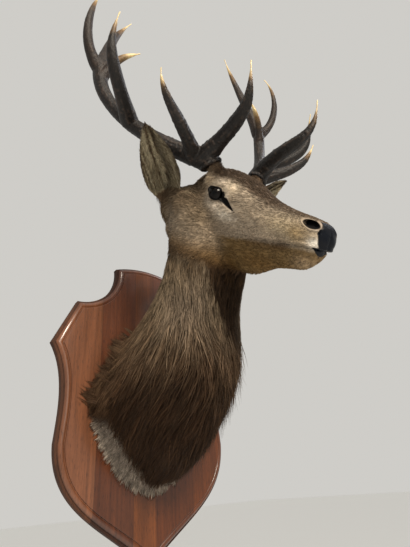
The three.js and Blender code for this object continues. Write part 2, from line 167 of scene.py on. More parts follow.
floor_finish, tree, shader = new_finish("pale_floor")
set_inputs(shader, {"Base Color": linear("#f8f7f4"), "Roughness": 0.9})
floor_mesh = bpy.data.meshes.new("floor")
floor_corners = [(x * FLOOR_HALF, y * FLOOR_HALF, FLOOR_LEVEL) for x, y in ((-1, -1), (1, -1), (1, 1), (-1, 1))]
floor_mesh.from_pydata(floor_corners, [], [(0, 1, 2, 3)])
floor_mesh.materials.append(floor_finish)
floor = linked("floor", floor_mesh)

# ---- shield board -------------------------------------------------------------------------
# Upright mahogany planks glued edge to edge, cut to a shield and worked round the edge with a
# square back, a fillet, a bead and a quirk below the flat field, then french polished.
BOARD_HEIGHT = 0.667
BOARD_THICK = 0.024
MOULDING = 0.019
SHIELD = {  # half outline: corner or curve handle, and its move for each unit drawn inwards
    "tip": (0, -0.667, 0, 1.25),
    "belly_low": (0.100, -0.588, -0.6, 0.8),
    "belly_high": (0.207, -0.560, -0.95, 0.45),
    "waist": (0.212, -0.440, -1, 0),
    "side_low": (0.208, -0.385, -1, 0),
    "side_high": (0.197, -0.300, -1, 0),
    "shoulder": (0.239, -0.236, -1.3, -0.12),
    "notch_foot": (0.190, -0.130, -0.68, -1.01),
    "horn": (0.095, -0.018, -1.13, -0.63),
    "arch": (0.050, 0, -0.55, -1),
    "crest": (0, 0, 0, -1),
}
NOTCH_CENTRE = np.array([0.194, -0.037])
EDGE_PROFILE = [  # out from the wall and in from the edge, from the back to the flat field
    (0, 0.0006), (0.0006, 0), (0.0136, 0), (0.0144, 0.0006), (0.0149, 0.0016), (0.0152, 0.0044),
    *((0.0156 + 0.0074 * math.sin(a), 0.0049 + 0.0083 * (1 - math.cos(a))) for a in np.linspace(0, math.pi / 2, 9)),
    (0.0222, 0.0153), (0.0214, 0.0163), (0.0214, 0.0178), (0.0236, 0.0184), (BOARD_THICK, MOULDING),
]
SEAT_GAP = 0.0004  # round the hanging plate
SCREW_ROOM = (0.011, 0.013, 0.025)  # half width, depth and half height, behind the plate


def bezier(handles, shares):
    points = [np.array(h, float)[None, :] + 0 * shares[:, None] for h in handles]
    while len(points) > 1:
        points = [a + (b - a) * shares[:, None] for a, b in zip(points, points[1:])]
    return points[0]


def shield_outline(inwards):
    """The shield's outline, drawn in from its edge, as x and z."""
    at = {k: np.array([x + mx * inwards, z + mz * inwards]) for k, (x, z, mx, mz) in SHIELD.items()}
    curve = lambda steps, *names: bezier([at[name] for name in names], np.linspace(0, 1, steps + 1))
    ends = [at[name] - NOTCH_CENTRE for name in ("notch_foot", "horn")]
    share = np.linspace(0, 1, 29)
    between = lambda start, end: start + (end - start) * share
    angle = between(*(math.atan2(p[1], p[0]) % math.tau for p in ends))
    reach = between(*(np.linalg.norm(p) for p in ends))
    half = np.concatenate([
        curve(40, "tip", "belly_low", "belly_high", "waist"),
        curve(20, "waist", "side_low", "side_high", "shoulder")[1:],
        np.stack([np.cos(angle), np.sin(angle)], 1) * reach[:, None] + NOTCH_CENTRE,
        curve(12, "horn", "arch", "crest")[1:],
    ])
    return np.concatenate([half, half[1:-1][::-1] * (-1, 1)]) + (0, BOARD_HEIGHT / 2)


def mesh_from(name, points, faces):
    """A mesh from an array of points and an array of faces with equally many corners."""
    made = bpy.data.meshes.new(name)
    made.vertices.add(len(points))
    made.vertices.foreach_set("co", np.asarray(points, np.float32).ravel())
    made.loops.add(faces.size)
    made.loops.foreach_set("vertex_index", faces.astype(np.int32).ravel())
    made.polygons.add(len(faces))
    made.polygons.foreach_set("loop_start", np.arange(0, faces.size, faces.shape[1], dtype=np.int32))
    made.update(calc_edges=True)
    return made


def facing_out(build, name):
    """A mesh from a bmesh, or from another mesh, with all its faces turned out."""
    if isinstance(build, bpy.types.Mesh):
        source, build = build, bmesh.new()
        build.from_mesh(source)
    bmesh.ops.recalc_face_normals(build, faces=build.faces)
    made = bpy.data.meshes.new(name)
    build.to_mesh(made)
    build.free()
    return made


def band_faces(rows, around):
    """Squares between rings of points."""
    r, i = np.meshgrid(np.arange(rows - 1), np.arange(around), indexing="ij")
    j = (i + 1) % around
    return np.stack([r * around + i, r * around + j, (r + 1) * around + j, (r + 1) * around + i], -1).reshape(-1, 4)


def put(name, mesh, finish, slot, *nodes):
    """A finished piece, in place of these nodes of the solid frame."""
    made = linked(name, mesh)
    mesh.materials.clear()
    mesh.materials.append(finish)
    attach(made, "root")
    if nodes:
        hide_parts(*nodes)


def applied(mesh, kind, where=None, **settings):
    """The mesh after one modifier, or after it worked on some of the points only."""
    holder = linked(mesh.name, mesh)
    modifier = holder.modifiers.new(kind, kind)
    if where is not None:
        holder.vertex_groups.new(name="where").add(np.flatnonzero(where).tolist(), 1.0, "REPLACE")
        modifier.vertex_group = "where"
    for key, value in settings.items():
        setattr(modifier, key, value)
    graph = bpy.context.evaluated_depsgraph_get()
    graph.update()
    made = bpy.data.meshes.new_from_object(holder.evaluated_get(graph))
    bpy.data.objects.remove(holder)
    return made


def combined(mesh, other, **settings):
    """The mesh joined with another, or cut by it."""
    tool = linked("tool", other)
    made = applied(mesh, "BOOLEAN", object=tool, **settings)
    bpy.data.objects.remove(tool)
    return made


rings = []
for out, inwards in EDGE_PROFILE:
    outline = shield_outline(inwards)
    rings.append(np.stack([outline[:, 0], np.full(len(outline), -out), outline[:, 1]], 1))
around = len(rings[0])
build = bmesh.new()
corners = [build.verts.new(p) for p in np.concatenate(rings)]
for face in band_faces(len(rings), around):
    build.faces.new([corners[i] for i in face])
for ring in (corners[:around], corners[-around:]):  # the flat back and the field, in level strips
    for i in range(around // 2):
        build.faces.new(list(dict.fromkeys([ring[i], ring[i + 1], ring[-i - 1], ring[-i]])))
board_mesh = facing_out(build, "shield")

# the seat of the hanging plate and the room for the screw's head behind it
plate_low, plate_high = np.array(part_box("hanging_plate"))
middle, half = (plate_low + plate_high) / 2, (plate_high - plate_low) / 2
cutter = bmesh.new()
for size in ((half[0] + SEAT_GAP, -plate_low[1] + SEAT_GAP, half[2] + SEAT_GAP), SCREW_ROOM):
    block = bmesh.ops.create_cube(cutter, size=2)["verts"]
    bmesh.ops.scale(cutter, vec=size, verts=block)
    bmesh.ops.translate(cutter, vec=(middle[0], 0, middle[2]), verts=block)
seat = facing_out(cutter, "plate_seat")
board_mesh = combined(board_mesh, seat, operation="DIFFERENCE", solver="EXACT", use_self=True)
board_mesh.shade_smooth()
board_mesh.set_sharp_from_angle(angle=math.radians(28))

# French-polished mahogany: a warm red-brown, darker and lighter from plank to plank, with long
# ribbon figure, short dark pores, a fine glue line at each joint and a soft gloss; the square back
# edge and the cove of the moulding are darkened as painted shade.
PLANK_SHADES = ["#663e27", "#4d2814", "#5b3012", "#51280f", "#60300f"]
PLANK_JOINTS = (-0.129, -0.043, 0.009, 0.107)  # across the board, from its middle
SPAN = 0.25  # past either side of the board
GRAIN_WIDTH, GRAIN_LENGTH = 0.006, 0.16
PORE_WIDTH, PORE_LENGTH = 0.0011, 0.013  # drawn about three times too coarse, or they would not show
mahogany, tree, shader = new_finish("french_polished_mahogany")
coords = places_on(tree)
axes = add_node(tree, "SeparateXYZ", {0: coords}).outputs
plank = add_node(tree, "ValToRGB", {0: remap(tree, axes["X"], -SPAN, SPAN, 0.0, 1.0)})
plank.color_ramp.interpolation = "CONSTANT"
for place, shade in zip([-SPAN, *PLANK_JOINTS], PLANK_SHADES):
    ramp = plank.color_ramp.elements
    stop = ramp[0] if place == -SPAN else ramp.new((place + SPAN) / (2 * SPAN))
    stop.color = linear(shade)
plank.color_ramp.elements[-1].position = 1.0
plank.color_ramp.elements[-1].color = linear(PLANK_SHADES[-1])
lightness = add_node(tree, "RGBToBW", {0: plank.outputs[0]}).outputs[0]
shift = calc(tree, "MULTIPLY", lightness, 37.0)  # each plank has its own figure
figure = stretched(tree, coords, (1 / GRAIN_WIDTH, 40, 1 / GRAIN_LENGTH))
grain = noise(tree, figure, 1.0, 5.0, W=shift, Distortion=0.4)
ribbon = noise(tree, stretched(tree, coords, (22, 20, 3)), 1.0, 3.0, W=shift)
pores = noise(tree, stretched(tree, coords, (1 / PORE_WIDTH, 300, 1 / PORE_LENGTH)), 1.0, 2.0)
pored = remap(tree, pores, 0.56, 0.7, 1.0, 0.5)
on_field = lambda field, edge: remap(tree, axes["Y"], -0.0205, -0.0165, field, edge)
light = calc(tree, "MULTIPLY", remap(tree, grain, 0.3, 0.7, 0.72, 1.24), remap(tree, ribbon, 0.35, 0.65, 0.74, 1.2))
# painted shade: the square back edge and the cove, nearest the wall, are darkened
shades = [pored, on_field(1.0, 0.42)]
for joint in PLANK_JOINTS:
    off = calc(tree, "ABSOLUTE", calc(tree, "SUBTRACT", axes["X"], joint))
    shades.append(remap(tree, off, 0.0002, 0.0011, 0.6, 1.0))
for shade in shades:
    light = calc(tree, "MULTIPLY", light, shade)
set_inputs(shader, {
    "Base Color": dimmed(tree, plank.outputs[0], light),
    "Roughness": calc(tree, "ADD", remap(tree, ribbon, 0.3, 0.7, 0.28, 0.38), on_field(0.0, 0.5)),
    "Specular IOR Level": 0.35,
    "Coat Weight": on_field(0.42, 0.0),
    "Coat Roughness": 0.14,
    "Normal": bump(tree, pored, 0.25, 0.0004),
})
put("shield", board_mesh, mahogany, "mahogany", "shield_board")

# ---- hanging plate ------------------------------------------------------------------------
# A pressed keyhole plate of rolled mild steel, let in flush at the back of the board; the
# rolling leaves faint lines along it, and handling a little dullness.
rolled_steel, tree, shader = new_finish("rolled_mild_steel")
coords = places_on(tree)
streaks = noise(tree, stretched(tree, coords, (2500, 200, 90)), 1.0, 4.0)
steel = {0: streaks, 6: linear("#7b7d7e"), 7: linear("#a3a4a3")}
set_inputs(shader, {
    "Base Color": add_node(tree, "Mix", steel, data_type="RGBA").outputs[2],
    "Roughness": remap(tree, streaks, 0.0, 1.0, 0.32, 0.55),
    "Metallic": 1.0,
})
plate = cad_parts["hanging_plate"]
plate.data.materials.clear()
plate.data.materials.append(rolled_steel)

# ---- antlers ------------------------------------------------------------------------------
# Bone, cast clean: a pearled coronet at the skull, long grooves and small pearls stained dark
# along the beams, and tines rubbed smooth and pale at their tips.
MM = 0.001
SIDES = ((1, "R"), (-1, "L"))
HEAD_AT = np.array([0, -0.392, 0.322])  # between the eyes
HEAD_DOWN, HEAD_TILT = math.radians(46), math.radians(6)
CORONET = (66, -62, 58)
BEAM = [CORONET, (139, -151, 64), (273, -284, 79), (258, -368, 206)]
BEAM_RADII = (21, 17.5, 15, 17.5)
TINES = {  # start along the beam, curve handles, tip, radius at the root
    "brow": (0.05, [(52, -7, 169), (83, 57, 160)], (83, 1, 256), 16.5),
    "bez": (0.1, [(158, -43, 113), (210, -73, 143)], (216, -85, 193), 14),
    "trez": (0.52, [(301, -143, 186), (297, -192, 208)], (283, -209, 284), 15),
    "crown_back": (0.96, [(327, -375, 238), (301, -384, 329)], (279, -466, 364), 13),
    "crown_top": (0.96, [(231, -441, 271), (213, -516, 309)], (162, -546, 373), 15),
    "crown_front": (0.88, [(235, -350, 232), (205, -352, 246)], (176, -352, 264), 11),
}
TINE_TIP = 2.1
FIRST_CROWN_TINE = 4  # counted with the beam as 0
BURR_AT, BURR_AXIS = np.array([64, -57, 55]), np.array([0.5, -0.5, 0.7])
BURR_ALONG = np.array([-0.5, -0.4, -0.15, 0.15, 0.4, 0.5]) * 9 * MM
BURR_RADII = np.array([0.82, 0.95, 1, 1, 0.93, 0.78]) * 25.5 * MM
PEDICLE_LENGTH, PEDICLE_RADII = 0.038, (0.0225, 0.016)
LEFT_TURN = [math.radians(a) for a in (-4.3, -2, 3.6)]
ANTLER_VOXEL = 0.0019
LINE_STEPS = 90
PEARL = 0.0026


def rotation(x, y, z):
    """Turn about x, then y, then z of the turned frame."""
    (cx, sx), (cy, sy), (cz, sz) = ((math.cos(a), math.sin(a)) for a in (x, y, z))
    about_x = np.array([[1, 0, 0], [0, cx, -sx], [0, sx, cx]])
    about_y = np.array([[cy, 0, sy], [0, 1, 0], [-sy, 0, cy]])
    return about_x @ about_y @ np.array([[cz, -sz, 0], [sz, cz, 0], [0, 0, 1]])


down, drop = math.cos(HEAD_DOWN), math.sin(HEAD_DOWN)
face_axes = np.array([[-1, 0, 0], [0, -down, -drop], [0, -drop, down]]).T
HEAD_AXES = face_axes @ rotation(0, HEAD_TILT, 0)  # columns: to the stag's right, forward along the face, up


def from_head(points):
    """Millimetres in the head's own frame, to metres in the mount's."""
    return np.asarray(points, float) * MM @ HEAD_AXES.T + HEAD_AT


def to_head(points):
    return (points - HEAD_AT) @ HEAD_AXES / MM


def unit(vectors):
    return vectors / np.maximum(np.linalg.norm(vectors, axis=-1, keepdims=True), 1e-12)


def smooth(value, low, high):
    t = np.clip((value - low) / (high - low), 0, 1)
    return t * t * (3 - 2 * t)


def hump(value, middle, width):
    """1 in the middle, falling off to both sides."""
    return np.exp(-(((value - middle) / width) ** 2))


def mottle(points, cell, seed=0):
    """Smooth random field from -1 to 1, with the given cell size along each axis."""
    spot = points / np.asarray(cell, float) + 1000.0
    base = np.floor(spot).astype(np.int64)
    share = spot - base
    share = share * share * (3 - 2 * share)
    total = np.zeros(len(points))
    for corner in itertools.product((0, 1), repeat=3):
        c = base + corner
        mixed = c[:, 0] * 73856093 ^ c[:, 1] * 19349663 ^ c[:, 2] * 83492791 ^ (seed * 2654435761)
        mixed = (mixed ^ (mixed >> 15)) * 2246822519 & 0xFFFFFFFF
        mixed = (mixed ^ (mixed >> 13)) * 3266489917 & 0xFFFFFFFF
        weight = np.prod(np.where(corner, share, 1 - share), axis=1)
        total += (((mixed >> 8) & 0xFFFF) / 32767.5 - 1) * weight
    return total


def read(rows, field, width, kind=np.float32):
    flat = np.empty(len(rows) * width, kind)
    rows.foreach_get(field, flat)
    return flat.reshape(-1, width)


def points_of(mesh):
    return read(mesh.vertices, "co", 3).astype(float)


def normals_of(mesh):
    return read(mesh.vertex_normals, "vector", 3).astype(float)


def neighbours_of(mesh):
    return read(mesh.edges, "vertices", 2, np.int32).T


def move_to(mesh, points):
    mesh.vertices.foreach_set("co", np.asarray(points, np.float32).ravel())
    mesh.update()


def relax(points, edges, rounds, share):
    """Evens out a skin; share says how much, all over or at each point."""
    a, b = edges
    count = len(points)
    share = np.broadcast_to(share, count)[:, None]
    degree = np.maximum(1, np.bincount(np.concatenate([a, b]), minlength=count))[:, None]
    for _ in range(rounds):
        total = [np.bincount(a, points[b, k], count) + np.bincount(b, points[a, k], count) for k in range(3)]
        points = points + 0.5 * share * (np.stack(total, 1) / degree - points)
    return points


def paint_points(mesh, name, colours):
    """Paints a colour, or one grey, on each point."""
    layer = mesh.color_attributes.new(name=name, type="FLOAT_COLOR", domain="POINT")
    rgb = np.clip(colours if colours.ndim == 2 else np.repeat(colours[:, None], 3, 1), 0, 1)
    layer.data.foreach_set("color", np.insert(rgb, 3, 1, axis=1).astype(np.float32).ravel())


def layered(ground, *coats):
    """A colour for each point: the ground, and over it each coat's colour by a mask from 0 to 1."""
    colours = np.tile(linear(ground)[:3], (len(coats[0][0]), 1)) if isinstance(ground, str) else ground
    for mask, shade in coats:
        colours = colours + (np.array(linear(shade)[:3]) - colours) * np.clip(mask, 0, 1)[:, None]
    return colours


def halved(squares):
    return np.concatenate([squares[:, [0, 1, 2]], squares[:, [0, 2, 3]]])


def capped(rings, hubs):
    """Points and triangles of a row of rings, closed by a fan to a hub at either end."""
    rows, around = rings.shape[:2]
    i = np.arange(around)
    j = (i + 1) % around
    last, hub = (rows - 1) * around, rows * around
    fans = [np.stack([0 * i + hub, j, i], 1), np.stack([0 * i + hub + 1, last + i, last + j], 1)]
    return np.concatenate([rings.reshape(-1, 3), hubs]), np.concatenate([halved(band_faces(rows, around)), *fans])


def frames_along(line):
    """Two cross directions carried along a line of points."""
    tangent = unit(np.gradient(line, axis=0))
    across = np.zeros_like(line)
    last = np.array([0, 1, 0.3])
    for n, t in enumerate(tangent):
        last = unit(last - t * (last @ t))
        across[n] = last
    return across, np.cross(tangent, across)


def tube(line, radii, sides):
    across, other = frames_along(line)
    angle = np.arange(sides) * 2 * math.pi / sides
    rim = across[:, None] * np.cos(angle)[None, :, None] + other[:, None] * np.sin(angle)[None, :, None]
    return capped(line[:, None] + rim * radii[:, None, None], line[[0, -1]])


def joined(name, pieces):
    """Several (points, faces) as one mesh."""
    starts = np.cumsum([0] + [len(p) for p, f in pieces[:-1]])
    faces = [f + start for (p, f), start in zip(pieces, starts)]
    return mesh_from(name, np.concatenate([p for p, f in pieces]), np.concatenate(faces))


def antler_points(points, side):
    """Places on the right antler, or on the left one, which is turned a little."""
    points = np.array(points, float) * (side, 1, 1)
    if side > 0:
        return points
    pivot = np.array(CORONET) * (-1, 1, 1)
    return (points - pivot) @ rotation(*LEFT_TURN).T + pivot


# Antler bone: grown in fine ridges, stained dark by bark sap, with a dull polish that rises
# towards the worn tips; the pearls carry a painted highlight on their tops and painted shade between.
antler_bone, tree, shader = new_finish("weathered_antler_bone")
coords = places_on(tree)
wear = painted(tree, "wear")["Fac"]
pearls = add_node(tree, "TexVoronoi", {"Vector": coords, "Scale": 1 / PEARL}, feature="SMOOTH_F1").outputs["Distance"]
# painted highlight on the tops of the pearls and painted shade between them, fading out on the worn tips
pearl_painted_light = blend(tree, wear, remap(tree, pearls, 0.1, 0.55, 1.35, 0.72), 1.0)
height = calc(tree, "MULTIPLY_ADD", pearls, -0.8, noise(tree, coords, 900.0, 3.0))
set_inputs(shader, {
    "Base Color": dimmed(tree, painted(tree, "stain")["Color"], pearl_painted_light),
    "Roughness": remap(tree, wear, 0.0, 1.0, 0.5, 0.3),
    "Specular IOR Level": 0.3,
    "Normal": bump(tree, height, remap(tree, wear, 0.0, 1.0, 0.55, 0.05), 0.0012),
})

for side, suffix in SIDES:
    shares = np.linspace(0, 1, LINE_STEPS + 1)
    beam = antler_points(bezier(BEAM, shares), side)
    lines = [(beam, np.interp(shares, [0, 1 / 3, 2 / 3, 1], BEAM_RADII))]
    for start, bend, tip, radius in TINES.values():
        root = bezier(BEAM, np.array([start]))[0]
        line = antler_points(bezier([root, *bend, tip], shares), side)
        flare = 1 + 0.35 * hump(shares, 0, 0.12)  # where the tine leaves the beam
        lines.append((line, np.maximum(TINE_TIP, radius * (1 - shares**2.0)) * flare))
    pieces, samples = [], []
    for number, (line, radii) in enumerate(lines):
        run = np.concatenate([[0], np.cumsum(np.linalg.norm(np.diff(line, axis=0), axis=1))])
        to_tip = run[-1] - run if number else 400 - run * 0.4
        line = from_head(line)
        pieces.append(tube(line, radii * MM, 20))
        samples.append(np.column_stack([line, *frames_along(line), run, to_tip, 0 * run + number]))
    burr = from_head(antler_points(BURR_AT, side))
    axis = unit(from_head(antler_points(BURR_AT + BURR_AXIS, side)) - burr)
    pieces.append(tube(burr + axis * BURR_ALONG[:, None], BURR_RADII, 40))
    pedicle = burr + axis * np.linspace(0, PEDICLE_LENGTH, 12)[:, None]
    pieces.append(tube(pedicle, np.linspace(*PEDICLE_RADII, 12), 32))
    antler_mesh = applied(joined("antler", pieces), "REMESH", mode="VOXEL", voxel_size=ANTLER_VOXEL)
    points = relax(points_of(antler_mesh), neighbours_of(antler_mesh), 4, 1)
    move_to(antler_mesh, points)

    # grooves and pearls run with the nearest line
    samples = np.concatenate(samples)
    finder = KDTree(len(samples))
    for k, sample in enumerate(samples):
        finder.insert(sample[:3], k)
    finder.balance()
    nearest = samples[[finder.find(p)[1] for p in points]]
    off = points - nearest[:, :3]
    run, to_tip, number = nearest[:, 9:].T
    across, other = ((off * nearest[:, at : at + 3]).sum(1) / MM for at in (3, 6))
    straight = np.stack([across, other, run + 500 * number], 1)
    grooves = mottle(straight, (3.6, 3.6, 52), 3) + 0.6 * mottle(straight, (7.5, 7.5, 90), 4)
    knobs = np.maximum(0, mottle(straight, (4.6, 4.6, 5.2), 5) - 0.1)
    knobs += 0.6 * np.maximum(0, mottle(straight, (3, 3, 3.6), 6))
    worn = 1 - smooth(to_tip, 12, 60)
    low_down = 1 - smooth(run + np.select([number == 0, number < 3], [0, 40], 260), 60, 420)
    from_burr = points - burr
    ringed = hump(np.abs(from_burr @ axis) / MM, 0, 6) * (np.linalg.norm(from_burr, axis=1) / MM < 38)
    push = 0.55 * grooves * (1 - 0.9 * worn) + (0.35 + 1.2 * low_down) * knobs * (1 - worn)
    push += ringed * 2.6 * np.maximum(-0.2, mottle(points, 0.0058, 9))
    points += normals_of(antler_mesh) * (push * MM)[:, None]
    move_to(antler_mesh, points)
    antler_mesh.shade_smooth()

    relief = np.clip(0.5 + 0.35 * grooves + 0.6 * knobs, 0, 1.4)
    crown = number >= FIRST_CROWN_TINE
    pale_up_to = lambda ragged, low, high: 1 - smooth(to_tip + ragged, np.where(crown, *low), np.where(crown, *high))
    colour = layered(
        "#110c09",
        (smooth(run * (number == 0), 250, 600) * 0.8, "#2a2019"),
        (crown * 0.7, "#281e18"),
        # raised ridges and pearls lighter: partly rubbed bone, partly a painted highlight
        (smooth(relief, 0.6, 1.2) * 0.42 * (1 - worn), "#53443a"),
        (smooth(-relief, -0.45, -0.1) * 0.5, "#120c0a"),
        (pale_up_to(12 * mottle(points, 0.012, 12), (36, 16), (95, 62)) * 0.8, "#866842"),
        (pale_up_to(6 * mottle(points, 0.009, 13), (16, 8), (56, 38)) * 0.95, "#dcc694"),
    )
    paint_points(antler_mesh, "stain", colour * (1 + 0.1 * mottle(points, 0.004, 14))[:, None])
    paint_points(antler_mesh, "wear", worn)
    names = [f"antler_{part}_{suffix}" for part in ("lower_beam", "middle_beam", "upper_beam", *TINES)]
    put(f"antler_{suffix}", antler_mesh, antler_bone, "antler", *names)

# ---- eyes ---------------------------------------------------------------------------------
# Blown glass eyes set in the form: a clear dome over a very dark brown iris with a wide, level
# pupil, polished, so that only the lights show in them.
EYE_RADIUS = 17.0
EYE_AT = np.array([59.0, -4.0, 0.0])
EYE_LOOKS = unit(np.array([0.8, 0.58, 0.1]))
EYE_LEVEL = np.array([0, 0.95, -0.31])  # along the slit between the lids, forwards and down
EYE_SIDES = 72
LID_THICK, EYE_SUNK = 1.5, 3.0  # over the glass, and the skin behind it


def head_side(vector, side):
    """A place on the stag's right, or its mirror image."""
    return np.asarray(vector, float) * (side, 1, 1)


def eye_axes(side):
    out = head_side(EYE_LOOKS, side)
    along = unit(EYE_LEVEL - out * (EYE_LEVEL @ out))
    up = np.cross(along, out)
    return out, along, up * np.sign(up[2])


def eye_angles(h, side=1):
    """From the eye's middle: way there, angles forwards and up, and 1 at the rims of the lids."""
    out, along, up = eye_axes(side)
    rel = h - head_side(EYE_AT, side)
    x, y = np.arctan2(rel @ along, rel @ out), np.arctan2(rel @ up, rel @ out)
    return rel, x, y, np.hypot(x / np.where(x > 0, 0.95, 1.16), y / np.where(y > 0, 0.80, 0.75))


eye_glass, tree, shader = new_finish("blown_glass_eye")
iris = painted(tree, "iris")["Color"]
set_inputs(shader, {"Base Color": iris, "Roughness": 0.15, "IOR": 1.5, "Specular IOR Level": 0.14})
for side, suffix in SIDES:
    out, along, up = eye_axes(side)
    polar = np.concatenate([np.linspace(0.02, 1.2, 40), np.linspace(1.26, math.pi - 0.03, 24)])
    dome = EYE_RADIUS + 1.1 * hump(polar, 0, 0.55)  # the cornea stands a little proud
    angle = np.arange(EYE_SIDES) * 2 * math.pi / EYE_SIDES
    rim = along[None] * np.cos(angle)[:, None] + up[None] * np.sin(angle)[:, None]
    rings = np.cos(polar)[:, None, None] * out + np.sin(polar)[:, None, None] * rim[None]
    hubs = np.stack([out * dome[0], -out * dome[-1]])
    points, faces = capped(dome[:, None, None] * rings, hubs)
    points += head_side(EYE_AT, side)
    eye_mesh = facing_out(mesh_from("eye", from_head(points), faces), "eye")
    eye_mesh.shade_smooth()
    rel, level_angle, upright_angle, _ = eye_angles(points, side)
    pupil = (level_angle / 0.42) ** 2 + (upright_angle / 0.24) ** 2
    iris = smooth(pupil, 0.8, 1.3) * (1 - smooth(np.hypot(level_angle, upright_angle), 0.62, 0.74))
    paint_points(eye_mesh, "iris", layered("#020202", (iris, "#0b0604")))
    put(f"glass_eye_{suffix}", eye_mesh, eye_glass, "eye_glass", f"eye_{suffix}")

# ---- hide ---------------------------------------------------------------------------------
# One tanned skin drawn over the form from the board to the nose, ears and all. It lies under
# the coat by the coat's depth, and carries the folds, lids, tear slits, nostrils and lips.
FLESH = ("neck_base", "neck_lower", "neck_upper", "head", "lower_jaw", "muzzle", "nose_pad")
GAP_FILL = 0.0005  # closes the thin cuts between the solids
SOCKET_FILL = 0.0215  # closes the sockets, until the lids are formed
FILLERS = [  # places and radii: a roll of skin down the neck from the ear's root, and the antler's foot
    ((103, -122, -50), 0.022), ((91, -110, -68), 0.03), ((82, -83, -99), 0.03), ((56, -48, 51), 0.021),
]
HIDE_VOXEL = 0.003
SKIN_TRIANGLES = 130000  # before the finer parts round the eyes and the nose are divided again
NECK_AXIS = np.array([  # out from the wall and up, down the middle of the neck
    [0.024, -0.020], [0.100, 0.005], [0.176, 0.057], [0.232, 0.121],
    [0.252, 0.190], [0.269, 0.247], [0.293, 0.293], [0.345, 0.335],
])
EAR_ROOT = np.array([102, -124, -40])
EAR_TIPS = {1: np.array([221, -88, 93]), -1: np.array([217, -134, 88])}
EAR_FACING = np.array([0.35, 0.92, -0.1])
EAR_LENGTH, EAR_HALF = 174, 39
EAR_STATIONS, EAR_COLUMNS = 72, 30
FOLD_RISE, FOLD_WIDE = [0.05, 0.2, 0.35, 0.55, 0.8, 1], [-0.1, 0.15, 0.35, 0.25, 0.12, 0]
TEAR_SLIT = np.array([(68, 14.5, 2), (57.2, 57.5, -19.6)])  # from the eye's front corner to its point
MOUTH = [(0, 263, -32), (19.7, 255, -32.7), (28.8, 239, -34.8), (30, 215, -39.3), (34, 168, -48.3), (41, 118, -56.3)]
SLIT_DEEP, NOSTRIL_DEEP = 5.0, 17
NOSTRIL = np.array([24.5, 235.5, 3.4])
NOSTRIL_ALONG = unit(np.array([-0.28, 0.95, -0.12]))
PAD_HEIGHTS = [-44, -40, -36, -32, -29, -20, -13, -7, -2, 3, 10, 14, 17]
PAD_HALVES = [0, 8, 14, 18, 17, 20, 21.5, 22.5, 20.5, 16.5, 13, 10, -4]
FORMS = [  # place, radii and height of each rise or hollow
    ((66, -8, 24), (18, 26, 11), 4.5),  # brow
    ((68, 8, -28), (16, 40, 10), 2.5),  # cheek bone
    ((60, -46, 30), (14, 20, 14), -3.5),  # hollow at the temple
    ((66, -60, -80), (22, 42, 40), 3.5),  # jaw muscle
    ((50, 70, -60), (18, 34, 26), -3.0),  # hollow in front of it
    ((38, 120, -2), (12, 48, 14), -2.5),  # beside the nose bone
    ((0, 150, 20), (15, 70, 10), 1.5),  # nose bone
    ((34, 214, -22), (14, 26, 12), 2.5),  # lip pad
    ((0, 236, -66), (22, 22, 14), 3.0),  # chin
    ((34, 150, -78), (14, 40, 14), -2.0),  # between the jaw's branches
    ((30, 20, 56), (20, 26, 14), 1.5),  # forehead beside the middle
    ((9, 262, -20), (15, 10, 12), 3.5),  # front of the upper lip
    ((10, 264, -38), (16, 12, 7), -4.0),  # and its edge
]


def folded(h):
    """Both sides of the face as one."""
    return np.where([True, False, False], np.abs(h), h)


def spot(m, where, radii):
    return np.exp(-(((m - where) / radii) ** 2).sum(1))


def ear_axes(side):
    root = head_side(EAR_ROOT, side)
    along = unit(head_side(EAR_TIPS[side], side) - root)
    facing = head_side(EAR_FACING, side)
    facing = unit(facing - along * (facing @ along))
    return root, along, facing, np.cross(along, facing)


def ear_shell(side):
    """The ear's gristle and skin: a cupped leaf with soft ribs inside, rolled at its root."""
    root, along, facing, cross = ear_axes(side)
    share = np.linspace(0, 1, EAR_COLUMNS + 1)
    rows = []
    for t in np.arange(EAR_STATIONS + 1) / EAR_STATIONS:
        half = EAR_HALF * max(0.045, math.sin(math.pi * (0.14 + 0.86 * t**0.9)) ** 0.8)
        curl = 1.9 + (0.7 - 1.9) * t**0.6
        bow = half / math.sin(min(curl, math.pi / 2))
        angle = curl * (2 * share - 1)
        fold_at = np.interp(t, FOLD_RISE, FOLD_WIDE) * EAR_HALF - 3
        ribs = 3.6 * hump(bow * np.sin(angle) * side, fold_at, 4) * math.sin(math.pi * min(1, 0.1 + t)) ** 0.5
        ribs += 1.1 * np.sin(share * math.pi * 7) * math.sin(math.pi * min(1, t * 1.25)) * (1 - t)
        thick = (7.5 - 5.6 * t**0.8) * (0.3 + 0.7 * np.sin(math.pi * share) ** 0.7)
        for depth, order in ((0.8 * (1 - t), 1), (thick + ribs, -1)):  # outside, then back along the inside
            reach = bow - depth
            place = root + along * (t * EAR_LENGTH) + cross * (reach * np.sin(angle))[:, None]
            rows.append((place + facing * (0.6 * bow - reach * np.cos(angle))[:, None])[::order])
    ring = 2 * (EAR_COLUMNS + 1)
    faces = [halved(band_faces(EAR_STATIONS + 1, ring))]
    for row, order in ((0, [0, 1, 2]), (EAR_STATIONS, [0, 2, 1])):
        strip = row * ring + np.arange(EAR_COLUMNS)
        back = row * ring + ring - 1 - np.arange(EAR_COLUMNS)
        for triangle in ((strip, back, strip + 1), (strip + 1, back, back - 1)):
            faces.append(np.stack(triangle, 1)[:, order])
    return facing_out(mesh_from("ear", from_head(np.concatenate(rows)), np.concatenate(faces)), "ear")


def head_share(points):
    """1 on the head, 0 on the neck, with a soft border behind the ears and under the jaw."""
    h = to_head(points)
    behind = (h - (0, -128, -20)) @ np.array([0, 0.93, 0.36])
    under = (h - (0, 60, -141)) @ np.array([0, -0.1, 1])
    return smooth(np.minimum(behind, under), -14, 26)


